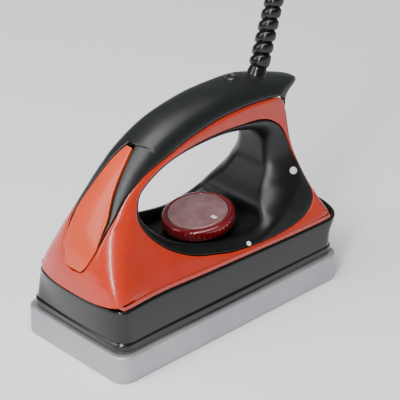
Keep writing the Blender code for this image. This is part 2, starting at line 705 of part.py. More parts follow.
# ---------------------------------------------------------------- lamp, wiring and fastenings
def make_wiring():
    spot, normal = Vector(skin_point(*LAMP)), Vector(normal_of(skin_point, *LAMP))
    lens = [(0, -4), (2.2, -4), (2.2, 0.7), (1.5, 1.4), (0, 1.7)]
    turned("lamp_lens", lens, WHITE, spot, normal, 16)
    rod("neon_lamp", 1.8, spot - 11 * normal, spot - 4.4 * normal, WHITE, 10)
    block("terminal_block", (-64, -10, 44), (-52, 10, 53), CERAMIC)
    for name, y in (("live", 6.5), ("earth", 0.0), ("neutral", -6.5)):
        rod(f"terminal_screw_{name}", 1.9, (-58, y, 53.3), (-58, y, 55.5), BRASS, 10)
    block("cord_clamp", (-58, -9, 101), (-48, 9, 104), BLACK)
    for name, y in (("left", 6.5), ("right", -6.5)):
        rod(f"clamp_screw_{name}", 1.8, (-53, y, 104.3), (-53, y, 107), STEEL, 10)
    live = [(-61, 6.5, 42.6), (-61, 9, 40), (-60.5, 18, 38.4), (-61.8, 23.2, 37), (-62, 24, 33.4)]
    earth = [(-55, 0, 42.6), (-52, 4, 40), (-43, 14, 38.8), (-34, 20, 38), (-30, 20.5, 33), (-30, 20, 16.6)]
    neutral = [(x, -y, z) for x, y, z in live]
    leads = {"live_lead": live, "neutral_lead": neutral, "earth_lead": earth}
    for name, route in leads.items():
        tube(name, along(route, 4.0), 1.2, RUBBER, 1)
    countersunk = [(0, 0), (3.4, 0), (3.4, -2), (1.7, -2.6), (1.7, -12), (0, -12)]
    turned("grip_screw", countersunk, STEEL, (-34, 0, 121), steps=12)
    cap = [(0, -1.4), (3.6, -1.4), (3.6, 0.5), (2.8, 1.0), (0, 1.2)]
    turned("grip_plug", cap, BLACK, PLUG_SPOT, steps=20)


# ---------------------------------------------------------------- the mains lead
def lead_route():
    """From the end of the boot, over the back of the iron and down to the top of the coil."""
    start = EXIT + (BOOT_LENGTH - BOOT_DEPTH + 0.4) * EXIT_AXIS
    onward = [
        start + 17 * EXIT_AXIS,
        (-82, 1.5, 208), (-97, 4, 222), (-116, 9, 229), (-138, 14, 226.5), (-159, 19.5, 215), (-176, 25, 197),
        (-188, 30, 172), (-195, 34.5, 145), (-199, 38.5, 117), (-201, 41.5, 89), (-201.5, 42.5, 62),
        (-201.5, 41.5, 38), (-201.5, 38, 26.5), (-201.5, 32.5, 19.3),
    ]
    return [tuple(start)] + [tuple(p) for p in onward]


def make_lead():
    boot = [(0, 0), (BOOT_RADIUS, 0)]
    ribs, start = 5, 9.0
    step = (BOOT_LENGTH - start - 4) / ribs
    for k in range(ribs):
        low = start + k * step
        wide = BOOT_RADIUS - 0.75 * k / ribs
        boot += [(wide - 1.5, low), (wide, low + 2), (wide - 0.2, low + step - 2), (wide - 1.5, low + step)]
    tip = CORD_DIAMETER / 2
    boot += [(tip + 0.7, BOOT_LENGTH - 2), (tip + 0.4, BOOT_LENGTH), (0, BOOT_LENGTH)]
    turned("strain_relief", boot, RUBBER, EXIT - BOOT_DEPTH * EXIT_AXIS, EXIT_AXIS, 16)
    radius = CORD_DIAMETER / 2
    tube("cord_lead", along(lead_route(), 2.2 * CORD_DIAMETER), radius, RUBBER)
    inner = COIL_RADIUS - COIL_TURNS / 2 * CORD_DIAMETER
    outer_edge = COIL_RADIUS + COIL_TURNS / 2 * CORD_DIAMETER
    low, high = COIL_LIFT, COIL_LIFT + COIL_LAYERS * CORD_DIAMETER
    ring = [(inner, low), (outer_edge, low), (outer_edge, high), (inner, high)]
    turned("cord_coil", ring, RUBBER, (*COIL_CENTRE, 0), steps=32)
    tie = block("coil_tie", (inner - 1.7, -5, 0.1), (outer_edge + 1.1, 5, high + 1.1), BLACK)
    hole = block("cut_tie", (inner - 0.9, -8, low - 0.3), (outer_edge + 0.3, 8, high + 0.3), BLACK)
    centre = Matrix.Translation((COIL_CENTRE[0] * METRES, COIL_CENTRE[1] * METRES, 0))
    for piece in (tie, hole):
        piece.matrix_world = centre @ Matrix.Rotation(math.radians(-70), 4, "Z")
    cut(tie, hole)


def make_plug():
    """The tail of the lead lies over the coil and ends in the plug, which rests on top."""
    tail = [(-218.5, 44, 19.1), (-215, 30.6, 19.8), (-220, 15, 21), (-231, 5, 22.6), (-243, 2.6, 24.4)]
    tube("cord_tail", along(tail, 2 * CORD_DIAMETER), CORD_DIAMETER / 2, RUBBER)
    base = Vector((-244.2, 2.6, 24.5))
    tilt = Vector((-1, 0, 0.215)).normalized()
    r = PLUG_RADIUS
    neck = [(0, 0), (4.6, 0), (5.6, 12), (6.6, 22), (11.5, 25), (14, 31), (16, 41)]
    turned("plug_body", neck + [(r, 45), (r, 55), (r - 1, 56), (0, 56)], RUBBER, base, tilt, 28)
    face = base + 56.3 * tilt
    for name, way in (("left", 1), ("right", -1)):
        pin = [(0, 0), (2.4, 0), (2.4, 17.5), (1.4, 18.7), (0, 18.7)]
        turned(f"plug_pin_{name}", pin, STEEL, face + Vector((0, way * 9.5, 0)), tilt, 12)


DIAL_AXIS = Vector((math.sin(math.radians(DIAL_TILT)), 0, math.cos(math.radians(DIAL_TILT))))
EXIT_AXIS = Vector((-math.sin(math.radians(CORD_LEAN)), 0, math.cos(math.radians(CORD_LEAN))))
EXIT = Vector((EXIT_X, 0, EXIT_Z))
PLUG_SPOT = (-34, 0, float(outer(25)[1]) + 0.2)


def main():
    for old in list(bpy.data.objects):
        bpy.data.objects.remove(old, do_unlink=True)
    make_sole()
    make_shield()
    make_thermostat()
    make_skirt()
    make_shell()
    make_liner()
    make_grip()
    make_nose_panel()
    make_dial()
    make_wiring()
    make_lead()
    make_plug()


main()
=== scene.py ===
# %% [markdown]
# # A waxing iron, piece by piece
# A waxing iron melts wax onto a ski and spreads it with a thick flat sole. This lesson builds the looks
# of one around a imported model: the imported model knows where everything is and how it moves, and each cell
# here makes one visible piece or one finish. All shapes are worked out in millimetres and scaled to
# metres at the end.

# %% Load the frame
import math

import bmesh
import bpy
import numpy as np
from mathutils import Matrix, Vector


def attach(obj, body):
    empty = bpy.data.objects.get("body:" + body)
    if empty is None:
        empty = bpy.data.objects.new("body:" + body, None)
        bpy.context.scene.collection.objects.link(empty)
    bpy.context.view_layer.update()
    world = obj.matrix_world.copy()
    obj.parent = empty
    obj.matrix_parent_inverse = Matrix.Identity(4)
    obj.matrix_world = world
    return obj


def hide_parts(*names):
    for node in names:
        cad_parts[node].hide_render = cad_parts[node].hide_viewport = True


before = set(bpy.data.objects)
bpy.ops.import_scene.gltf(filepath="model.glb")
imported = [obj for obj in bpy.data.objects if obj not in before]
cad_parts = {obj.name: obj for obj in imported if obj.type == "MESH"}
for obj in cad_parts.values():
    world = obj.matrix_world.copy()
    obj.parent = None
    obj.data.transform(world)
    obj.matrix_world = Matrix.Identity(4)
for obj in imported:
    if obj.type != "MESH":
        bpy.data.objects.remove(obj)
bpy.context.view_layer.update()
MM = 0.001

# %% [markdown]
# ## The camera
# An iron shows best from above its nose and to one side, where the front, the side and the dial all show.
# The camera is placed with two angles round a point inside the iron, and then aimed a little to the side
# of that point, which frames the iron without any lens shift.

# %% Place the camera
VIEW_AZIMUTH, VIEW_ELEVATION = math.radians(46.5), math.radians(28.5)
VIEW_DISTANCE = 1000.0
VIEW_WIDTH = 218.0   # width of the view at the iron
AIM_RIGHT, AIM_UP = 7.7, 12.5

toward = Vector((
    math.cos(VIEW_AZIMUTH) * math.cos(VIEW_ELEVATION),
    math.sin(VIEW_AZIMUTH) * math.cos(VIEW_ELEVATION),
    math.sin(VIEW_ELEVATION),
))
right = Vector((-math.sin(VIEW_AZIMUTH), math.cos(VIEW_AZIMUTH), 0))
up = toward.cross(right)
aim = Vector((0, 0, 50)) + AIM_RIGHT * right + AIM_UP * up
camera_data = bpy.data.cameras.new("camera")
camera_data.lens = camera_data.sensor_width * VIEW_DISTANCE / VIEW_WIDTH
camera_data.clip_start = 0.05
camera = bpy.data.objects.new("camera", camera_data)
camera.matrix_world = Matrix.Translation((aim + VIEW_DISTANCE * toward) * MM) @ Matrix(
    (right, up, toward)
).transposed().to_4x4()
bpy.context.scene.collection.objects.link(camera)
bpy.context.scene.camera = camera
print(f"lens {camera_data.lens:.0f} mm")

# %% [markdown]
# ## Curves through chosen points
# Both the cord and the body's outlines run through a few given points. A Catmull-Rom curve
# passes through every point and stays smooth, so the points can be few.

# %% A smooth curve
def smooth_curve(points, closed=False):
    points = np.array(points, float)
    count = len(points)

    def at(t):
        if closed:
            t = t % count
        i = max(min(int(math.floor(t)), count - 1 if closed else count - 2), 0)
        f = t - i
        if closed:
            p0, p1, p2, p3 = (points[(i + k) % count] for k in (-1, 0, 1, 2))
        else:
            p1, p2 = points[i], points[i + 1]
            p0 = points[i - 1] if i > 0 else 2 * p1 - p2
            p3 = points[i + 2] if i + 2 < count else 2 * p2 - p1
        bend = (2 * p0 - 5 * p1 + 4 * p2 - p3) * f**2 + (3 * p1 - p0 - 3 * p2 + p3) * f**3
        return 0.5 * (2 * p1 + (p2 - p0) * f + bend)

    return at


def along(points, spacing):
    """Evenly spaced points on the smooth curve through the points."""
    curve = smooth_curve(points)
    fine = np.array([curve(t) for t in np.linspace(0, len(points) - 1, 60 * len(points))])
    run = np.concatenate([[0], np.cumsum(np.linalg.norm(np.diff(fine, axis=0), axis=1))])
    count = max(2, round(run[-1] / spacing))
    places = np.linspace(0, run[-1], count + 1)
    return [tuple(np.interp(d, run, fine[:, k]) for k in range(3)) for d in places]


def ease(x):
    """0 before x = 0, 1 after x = 1, and smooth between."""
    x = min(max(x, 0.0), 1.0)
    return x * x * (3 - 2 * x)


# %% [markdown]
# ## The mains lead
# A mains lead is a fixed length of stiff rubber cable. It leaves the handle inside a strain relief, arcs
# over under its own weight, comes down behind the iron and is wound into a coil three cords high. Each
# turn of the coil is a true circle, and steps in, out, up or down by one diameter over a short angle, as
# a hand-wound coil does. A spiral would need the same room but would look machine-made.

# %% The lead's route
CORD_DIAMETER = 6.9
CORD_LEAN = math.radians(17.5)
EXIT = Vector((-53, 0, 121.8))
EXIT_AXIS = Vector((-math.sin(CORD_LEAN), 0, math.cos(CORD_LEAN)))
BOOT_LENGTH = 58.0
BOOT_DEPTH = 3.0
BOOT_RADIUS = 5.8
COIL_CENTRE = (-249.0, 12.0)
COIL_RADIUS = 40.5
COIL_PITCH = 7.0
COIL_MIDDLE, COIL_END = 11.7, 2075.0   # height of the middle layer, and degrees wound
COIL_STEPS = 228
STEP_ANGLE = 46.0


def step_at(wound, turn, place):
    """Rises from 0 to 1 on that turn, the given number of steps before the turn ends."""
    return ease((wound - 360 * turn + place * STEP_ANGLE) / STEP_ANGLE)


def coil_point(wound):
    inward = step_at(wound, 2, 2) + step_at(wound, 3, 2)
    outward = step_at(wound, 5, 4)
    radius = COIL_RADIUS + COIL_PITCH * (1 - inward + outward)
    layer = step_at(wound, 4, 3) + step_at(wound, 6, 5) - step_at(wound, 1, 1)
    turn = -math.radians(wound)
    x = COIL_CENTRE[0] + radius * math.cos(turn)
    y = COIL_CENTRE[1] + radius * math.sin(turn)
    return (x, y, COIL_MIDDLE + COIL_PITCH * layer)


boot_end = EXIT + (BOOT_LENGTH - BOOT_DEPTH) * EXIT_AXIS
lead_points = [
    boot_end - 4 * EXIT_AXIS, boot_end + 17 * EXIT_AXIS,
    (-82, 1.5, 208), (-97, 4, 222), (-116, 9, 229), (-138, 14, 226.5), (-159, 19.5, 215), (-176, 25, 197),
    (-188, 30, 172), (-195, 34.5, 145), (-199, 38.5, 117), (-201, 41.5, 89), (-201.5, 42.5, 62),
    (-201.5, 41.5, 38), (-201.5, 38, 26.5), (-201.5, 32.5, 19.3), (-201.5, 26, 14.8), (-201.5, 19, 12.3),
]
coil_points = [coil_point(COIL_END * k / COIL_STEPS) for k in range(COIL_STEPS + 1)]
tail_points = [
    (-234, 53, 18.8), (-224, 48.8, 19), (-217.5, 41.5, 19.3), (-215, 30.6, 20.0), (-220, 15, 21.3),
    (-231, 5, 22.8), (-243, 2.6, 24.6), (-251, 2.6, 26.1),
]
route = along([tuple(p) for p in lead_points] + coil_points + tail_points, 4.0)

# %% Make the lead
def tube_mesh(name, points, radius, sides):
    """A round tube along the points, in metres, made by a bevelled curve and then turned into a mesh."""
    curve = bpy.data.curves.new(name, "CURVE")
    curve.dimensions = "3D"
    curve.bevel_depth = radius * MM
    curve.bevel_resolution = sides
    curve.use_fill_caps = True
    line = curve.splines.new("POLY")
    line.points.add(len(points) - 1)
    for spot, point in zip(line.points, points):
        spot.co = (*(Vector(point) * MM), 1)
    guide = bpy.data.objects.new(name, curve)
    bpy.context.scene.collection.objects.link(guide)
    mesh = bpy.data.meshes.new_from_object(guide.evaluated_get(bpy.context.evaluated_depsgraph_get()))
    bpy.data.objects.remove(guide)
    bm = bmesh.new()
    bm.from_mesh(mesh)
    bmesh.ops.remove_doubles(bm, verts=bm.verts, dist=1e-6)
    bmesh.ops.recalc_face_normals(bm, faces=bm.faces)
    bm.to_mesh(mesh)
    bm.free()
    mesh.shade_smooth()
    mesh.set_sharp_from_angle(angle=math.radians(50))
    return mesh


lead_mesh = tube_mesh("mains_lead_mesh", route, CORD_DIAMETER / 2, 6)
mains_lead = bpy.data.objects.new("mains_lead", lead_mesh)
bpy.context.scene.collection.objects.link(mains_lead)
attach(mains_lead, "iron")
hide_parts("cord_lead", "cord_coil", "cord_tail")

# %% [markdown]
# ## The body's skin
# The housing of such an iron is three mouldings and a soft cover that share one flowing surface, split by
# thin joints. Modelling each one alone never gives even joints. So the skin is described once, by how far
# round the handle opening a point lies (u) and how far from the opening to the outer edge (s), and each
# moulding takes its own patch of it.

# %% Outlines and widths of the body
STATIONS = (
    ((47.3, 80.5), (51, 80.5), (70.5, 77)),
    ((44, 89), (47, 91.5), (60, 92.5)),
    ((32, 96), (34, 99.5), (44, 108)),
    ((16, 100.5), (17, 104), (22, 119.5)),
    ((-3, 102), (-3, 106), (-3, 125)),
    ((-20, 101.5), (-22, 106), (-24, 126)),
    ((-38, 97.5), (-42, 104), (-46, 124.5)),
    ((-47.5, 91), (-54, 97.5), (-60.5, 117.5)),
    ((-50, 81.5), (-60, 88), (-65.5, 102)),
    ((-48.5, 71.5), (-63.5, 77), (-67.5, 84)),
    ((-42.5, 62.5), (-68, 65.5), (-72, 67)),
    ((-36, 55.5), (-70, 53), (-79, 51)),
    ((-33, 49.5), (-60, 44.5), (-87, 37)),
    ((-24, 47), (-37, 41.6), (-52, 37.6)),
    ((-10, 47.4), (-10, 43), (-16, 38.8)),
    ((4.5, 50), (6, 46.2), (18, 40)),
    ((18.5, 54), (21, 50.5), (50, 41.2)),
    ((31, 60), (34, 57.3), (81.5, 40)),
    ((39.5, 67), (42.6, 64.6), (80.3, 52)),
    ((44.8, 73.5), (48.3, 72), (76.5, 64.5)),
)
TUB = ((11, 0), (12, 1.5), (13, 3.2), (14, 4.1), (15, 6.6), (16, 9), (17, 7), (18, 3), (19, 0))
WIDTHS = (
    (30, 36), (40, 34), (50, 30.5), (60, 26.5), (70, 23), (80, 19.7), (90, 17.3), (100, 16), (130, 15.2),
)
DRAW_IN = ((0, 6), (6, 6), (7, 9), (8, 12), (9, 13), (10, 12.5), (11, 9), (12, 6), (20, 6))
DRAW_OVER = ((0, 6), (6, 6), (7, 10), (8, 15), (9, 20), (10, 22), (11, 14), (12, 6), (20, 6))
ROUNDING = ((0, 9), (1, 12), (2, 14), (3, 15), (5, 14.5), (7, 14.5), (9, 13), (10, 9), (11, 8.5), (15, 9))
REAR_CORNER, NOSE_CORNER = 12, 17
LOOP = len(STATIONS)
RIM_POWER, CHAMFER_POWER = 2.5, 1.6
MOST_DRAWN = 0.6   # of the half width
WALL, SEAM, TINY = 2.2, 0.65, 1e-5


def table(rows):
    """A function that reads between the rows of a table."""
    keys, values = zip(*rows)
    return lambda x: float(np.interp(x, keys, values))


opening_edge = smooth_curve([row[0] for row in STATIONS], closed=True)
liner_edge = smooth_curve([row[1] for row in STATIONS], closed=True)
upper_edge = smooth_curve([STATIONS[k % LOOP][2] for k in range(NOSE_CORNER, LOOP + REAR_CORNER + 1)])
lower_edge = smooth_curve([STATIONS[k][2] for k in range(REAR_CORNER, NOSE_CORNER + 1)])
half_width_at, tub_depth, rounding_at = table(WIDTHS), table(TUB), table(ROUNDING)
draw_in_at, draw_over_at = table(DRAW_IN), table(DRAW_OVER)
edge_samples = np.linspace(0, LOOP + REAR_CORNER - NOSE_CORNER, 900)
edge_line = np.array([upper_edge(t) for t in edge_samples])
edge_line = np.vstack([edge_line[0] + (0, -40), edge_line, edge_line[-1] + (-12, -40)])
edge_samples = np.concatenate([edge_samples[:1], edge_samples, edge_samples[-1:]])
print("outline samples:", len(edge_line))


# %% A point of the skin
def outer_edge(u):
    u = u % LOOP
    if REAR_CORNER <= u <= NOSE_CORNER:
        return lower_edge(u - REAR_CORNER)
    return upper_edge((u - NOSE_CORNER) % LOOP)


def edge_distance(xz):
    """(distance to the outer edge, depth of the rounding there)."""
    a, d = edge_line[:-1], np.diff(edge_line, axis=0)
    t = np.clip(((xz - a) * d).sum(1) / np.maximum((d * d).sum(1), 1e-9), 0, 1)
    gap = a + t[:, None] * d - xz
    away = (gap * gap).sum(1)
    i = int(away.argmin())
    sample = edge_samples[i] + t[i] * (edge_samples[i + 1] - edge_samples[i])
    return math.sqrt(away[i]), rounding_at(sample)


def rounded(share, power):
    share = min(max(share, 0.0), 1.0)
    return (1 - (1 - share) ** power) ** (1 / power)


def half_width(xz, from_opening, around):
    away, depth = edge_distance(xz)
    side = half_width_at(xz[1]) * rounded(away / depth, RIM_POWER)
    drawn = 1 - rounded(from_opening / draw_over_at(around), CHAMFER_POWER)
    return side - min(draw_in_at(around), MOST_DRAWN * side) * drawn


def skin_point(u, s):
    """s: -2 middle of the opening's wall, -1 its lip, 0 the liner's edge, 2 the middle of the outer edge."""
    if s > 2:
        return skin_point(u, 4 - s) * (1, -1, 1)
    if s < -2:
        return skin_point(u, -4 - s) * (1, -1, 1)
    inner, middle, edge = opening_edge(u), liner_edge(u), outer_edge(u)
    around = u % LOOP
    if s <= -1:
        dip = tub_depth(around) * (1 - ease((s + 1.16) / 0.16))
        return np.array([inner[0], half_width(inner, 0.0, around) * (s + 2), inner[1] - dip])
    if s <= 0:
        xz = inner + (middle - inner) * (1 + s)
    else:
        length = np.linalg.norm(middle - edge)
        depth = min(edge_distance(middle * 0.02 + edge * 0.98)[1], 0.9 * length)
        turn = math.radians(90) * (s - 1)
        if s >= 1:
            share = depth / length * (1 - math.sin(turn) ** (2 / RIM_POWER))
        else:
            share = depth / length + (1 - depth / length) * (1 - s)
        if REAR_CORNER <= around <= NOSE_CORNER:
            blend = min(around - REAR_CORNER, NOSE_CORNER - around, 1.0)
            share = share * (1 - blend) + (2 - s) / 2 * blend
        xz = edge + (middle - edge) * share
    y = half_width(xz, float(np.linalg.norm(xz - inner)), around)
    if s > 2 - TINY and not REAR_CORNER < around < NOSE_CORNER:
        y = 0.0
    return np.array([xz[0], y, xz[1]])


def normal_of(place, u, s):
    step = 0.02
    normal = np.cross(place(u + step, s) - place(u - step, s), place(u, s + step) - place(u, s - step))
    return normal / max(np.linalg.norm(normal), 1e-9)


def moved(u, s, distance):
    """The value of s this many millimetres further across the skin."""
    step = 0.01 if distance > 0 else -0.01
    rate = np.linalg.norm(skin_point(u, s + step) - skin_point(u, s)) / 0.01
    return s + distance / max(rate, 1.0)


# %% [markdown]
# ## Moulded sheets
# A real moulding is a wall of even thickness with slightly rounded edges. A Solidify modifier would give
# the wall, but it thins out where the skin turns sharply, so the wall's inside is laid along the
# surface's own normal. The last rows before an edge sink a little, which rounds the edge and lets the
# joints catch light.

# %% A wall of even thickness
def make_piece(name, bm, paint, nodes, body="iron", sharp=40.0, recalculate=True):
    """Turns a mesh in millimetres into a finished piece that stands for the nodes named."""
    if recalculate:
        bmesh.ops.recalc_face_normals(bm, faces=bm.faces)
    bmesh.ops.scale(bm, verts=bm.verts, vec=(MM, MM, MM))
    mesh = bpy.data.meshes.new(name)
    bm.to_mesh(mesh)
    bm.free()
    mesh.materials.append(paint)
    mesh.shade_smooth()
    mesh.set_sharp_from_angle(angle=math.radians(sharp))
    made = bpy.data.objects.new(name, mesh)
    bpy.context.scene.collection.objects.link(made)
    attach(made, body)
    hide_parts(*nodes)
    print(f"{name}: {len(mesh.polygons)} faces")
    return made


def sheet_mesh(us, across, place, keep=None, closed=False, wall=WALL):
    """A wall over the values us by the columns that across(u) lists, each (s, sink in mm)."""
    columns = len(across(us[0]))
    rows = len(us) + (1 if closed else 0)
    bm = bmesh.new()
    inward = bm.verts.layers.float_vector.new("inward")
    made = bmesh.ops.create_grid(bm, x_segments=columns - 1, y_segments=rows - 1, size=1)
    spots = sorted(made["verts"], key=lambda v: (round(v.co.y, 6), round(v.co.x, 6)))
    address = {spot: divmod(i, columns) for i, spot in enumerate(spots)}
    if keep:
        gone = []
        for face in bm.faces:
            row = min(address[v][0] for v in face.verts)
            column = min(address[v][1] for v in face.verts)
            if not keep(us[row], column):
                gone.append(face)
        bmesh.ops.delete(bm, geom=gone, context="FACES")
    listed = [across(u) for u in us]
    for spot in bm.verts:
        row, column = address[spot]
        u, (s, sink) = us[row % len(us)], listed[row % len(us)][column]
        normal = normal_of(place, u, s)
        point = place(u, s)
        spot.co = point - sink * normal
        spot[inward] = Vector(point - wall * normal)
    bmesh.ops.remove_doubles(bm, verts=bm.verts, dist=0.01)
    outside = list(bm.faces)
    bmesh.ops.recalc_face_normals(bm, faces=outside)
    if max(outside, key=lambda f: f.calc_center_median().y).normal.y < 0:
        bmesh.ops.reverse_faces(bm, faces=outside)
    rim = [e for e in bm.edges if e.is_boundary]
    twin = {spot: bm.verts.new(spot[inward]) for spot in list(bm.verts)}
    for face in outside:
        bm.faces.new([twin[v] for v in reversed(face.verts[:])])
    for edge in rim:
        first, second = edge.link_loops[0].vert, edge.link_loops[0].link_loop_next.vert
        bm.faces.new((second, first, twin[first], twin[second]))
    return bm


def spread(*stops):
    """Values from stop to stop: pairs of (value, cells up to the next one), ending with a plain value."""
    values = []
    for (low, cells), after in zip(stops[:-1], stops[1:]):
        high = after[0] if isinstance(after, tuple) else after
        values += [low + (high - low) * k / cells for k in range(cells)]
    return values + [stops[-1]]


def mirrored(half, middle=4.0):
    """The columns of the left side, followed by the same ones on the right."""
    other = half[:-1] if half[-1][0] * 2 == middle else half
    return half + [(middle - s, sink) for s, sink in reversed(other)]


EDGE_LIP = ((0.0, 0.5), (0.16, 0.2), (0.5, 0.04), (1.0, 0.0))   # (distance from the edge, how far it sinks)


def lipped(u, low, high, cells, low_lip=True, high_lip=False):
    """Columns from s = low to s = high with a rounded edge at one end or both."""
    rate = np.linalg.norm(skin_point(u, (low + high) / 2 + 0.01) - skin_point(u, (low + high) / 2)) / 0.01
    room = 0.3 * (high - low)
    lip = [(min(d / max(rate, 1.0), room * d), sink) for d, sink in EDGE_LIP]
    first = [(low + d, sink) for d, sink in lip] if low_lip else [(low, 0.0)]
    last = [(high - d, sink) for d, sink in reversed(lip)] if high_lip else [(high, 0.0)]
    start, end = first[-1][0], last[0][0]
    return first + [(start + (end - start) * k / cells, 0.0) for k in range(1, cells)] + last


# %% [markdown]
# ## Moulded plastic
# Injection-moulded plastic is one colour right through, but never looks flat: the mould leaves a fine
# grain, the melt gives faint clouds of tone, and handling leaves slightly duller patches. A painted image
# would do this for one view only. Here every effect comes from noise in the piece's own coordinates, so
# it holds from all sides.

# %% A plastic as nodes
def moulded_plastic(name, colour, cloud, roughness, coat, grain=0.08, grain_scale=1500.0, clear=0.0):
    """clear is how much light goes through, for a tinted plastic."""
    paint = bpy.data.materials.new(name)
    paint.use_nodes = True
    tree = paint.node_tree
    tree.nodes.clear()
    links = tree.links

    place = tree.nodes.new("ShaderNodeTexCoord")
    place.label = "Where on the piece"
    centre = tree.nodes.new("ShaderNodeMapping")
    centre.label = "Metres, unturned"
    links.new(place.outputs["Object"], centre.inputs["Vector"])

    tone_frame = tree.nodes.new("NodeFrame")
    tone_frame.label = "Clouds in the melt"
    clouds = tree.nodes.new("ShaderNodeTexNoise")
    clouds.label = "Slow change of tone"
    clouds.inputs["Scale"].default_value = 24.0
    clouds.inputs["Detail"].default_value = 3.0
    tones = tree.nodes.new("ShaderNodeValToRGB")
    tones.label = "From the shade to the full colour"
    tones.color_ramp.elements[0].position = 0.32
    tones.color_ramp.elements[0].color = (*cloud, 1)
    tones.color_ramp.elements[1].position = 0.62
    tones.color_ramp.elements[1].color = (*colour, 1)
    clouds.parent = tones.parent = tone_frame
    links.new(centre.outputs["Vector"], clouds.inputs["Vector"])
    links.new(clouds.outputs["Fac"], tones.inputs["Fac"])

    gloss_frame = tree.nodes.new("NodeFrame")
    gloss_frame.label = "Handling marks in the gloss"
    smears = tree.nodes.new("ShaderNodeTexNoise")
    smears.label = "Duller patches"
    smears.inputs["Scale"].default_value = 70.0
    smears.inputs["Detail"].default_value = 6.0
    smears.inputs["Roughness"].default_value = 0.65
    dulling = tree.nodes.new("ShaderNodeMapRange")
    dulling.label = "Patch to roughness"
    dulling.inputs["From Min"].default_value = 0.3
    dulling.inputs["From Max"].default_value = 0.75
    dulling.inputs["To Min"].default_value = roughness
    dulling.inputs["To Max"].default_value = roughness + 0.12
    smears.parent = dulling.parent = gloss_frame
    links.new(centre.outputs["Vector"], smears.inputs["Vector"])
    links.new(smears.outputs["Fac"], dulling.inputs["Value"])

    grain_frame = tree.nodes.new("NodeFrame")
    grain_frame.label = "Mould grain and slight sinks"
    fine = tree.nodes.new("ShaderNodeTexNoise")
    fine.label = "Grain of the mould"
    fine.inputs["Scale"].default_value = grain_scale
    fine.inputs["Detail"].default_value = 2.0
    sinks = tree.nodes.new("ShaderNodeTexNoise")
    sinks.label = "Sinks over the ribs inside"
    sinks.inputs["Scale"].default_value = 45.0
    grain_bump = tree.nodes.new("ShaderNodeBump")
    grain_bump.label = "Raise the grain"
    grain_bump.inputs["Strength"].default_value = grain
    grain_bump.inputs["Distance"].default_value = 0.0001
    sink_bump = tree.nodes.new("ShaderNodeBump")
    sink_bump.label = "Wave the surface a little"
    sink_bump.inputs["Strength"].default_value = 0.12
    sink_bump.inputs["Distance"].default_value = 0.0006
    fine.parent = sinks.parent = grain_bump.parent = sink_bump.parent = grain_frame
    links.new(centre.outputs["Vector"], fine.inputs["Vector"])
    links.new(centre.outputs["Vector"], sinks.inputs["Vector"])
    links.new(sinks.outputs["Fac"], sink_bump.inputs["Height"])
    links.new(fine.outputs["Fac"], grain_bump.inputs["Height"])
    links.new(sink_bump.outputs["Normal"], grain_bump.inputs["Normal"])

    shader = tree.nodes.new("ShaderNodeBsdfPrincipled")
    shader.label = "Plastic"
    shader.inputs["IOR"].default_value = 1.46
    shader.inputs["Coat Weight"].default_value = coat
    shader.inputs["Coat Roughness"].default_value = 0.06
    shader.inputs["Transmission Weight"].default_value = clear
    links.new(tones.outputs["Color"], shader.inputs["Base Color"])
    links.new(dulling.outputs["Result"], shader.inputs["Roughness"])
    links.new(grain_bump.outputs["Normal"], shader.inputs["Normal"])
    out = tree.nodes.new("ShaderNodeOutputMaterial")
    out.label = "Surface"
    links.new(shader.outputs["BSDF"], out.inputs["Surface"])
    for column, group in enumerate((
        (place,), (centre,), (clouds, smears, fine, sinks), (tones, dulling, sink_bump), (grain_bump,),
        (shader,), (out,),
    )):
        for row, node in enumerate(group):
            node.location = (column * 240, -row * 260)
    return paint


ORANGE = moulded_plastic("orange_plastic", (0.47, 0.026, 0.006), (0.41, 0.021, 0.005), 0.22, 0.35)
PANEL_ORANGE = moulded_plastic("pale_orange_plastic", (0.58, 0.060, 0.016), (0.52, 0.050, 0.013), 0.28, 0.30)
SKIRT_BLACK = moulded_plastic(
    "gloss_black", (0.0035, 0.0037, 0.0039), (0.0028, 0.0030, 0.0032), 0.16, 0.25, 0.03
)
LINER_BLACK = moulded_plastic(
    "satin_black", (0.0030, 0.0032, 0.0031), (0.0023, 0.0025, 0.0024), 0.30, 0.0, 0.25, 900.0
)
CAP_BLACK = moulded_plastic("cap_black", (0.010, 0.010, 0.011), (0.008, 0.008, 0.009), 0.18, 0.5, 0.03)
MARK_WHITE = moulded_plastic("white_plastic", (0.80, 0.80, 0.77), (0.72, 0.72, 0.69), 0.32, 0.2)
DIAL_RED = moulded_plastic(
    "ruby_plastic", (0.24, 0.006, 0.010), (0.16, 0.004, 0.007), 0.12, 0.9, 0.02, 1500.0, 0.18
)
LENS_CLEAR = moulded_plastic(
    "clear_plastic", (0.90, 0.88, 0.82), (0.82, 0.80, 0.74), 0.08, 0.8, 0.02, 1500.0, 0.35
)
NYLON_BLACK = moulded_plastic(
    "black_nylon", (0.013, 0.013, 0.013), (0.010, 0.010, 0.010), 0.42, 0.0, 0.3, 800.0
)
LEAD_COLOURS = {
    "live_lead": moulded_plastic("brown_insulation", (0.10, 0.035, 0.012), (0.08, 0.028, 0.010), 0.4, 0.1),
    "neutral_lead": moulded_plastic("blue_insulation", (0.02, 0.09, 0.38), (0.016, 0.07, 0.30), 0.4, 0.1),
    "earth_lead": moulded_plastic("green_insulation", (0.10, 0.26, 0.03), (0.42, 0.40, 0.03), 0.4, 0.1),
}
print("plastics:", len([m for m in bpy.data.materials if m.use_nodes]))

# %% [markdown]
# ## Soft-touch cover and rubber
# The grip is a soft thermoplastic over the hard shell, and the lead's sheath is rubber. Both scatter
# light at a low angle, so they look grey along their tops and nearly black face on. A rougher shader
# alone looks dusty all over; a little sheen gives the grey only where the surface turns away.

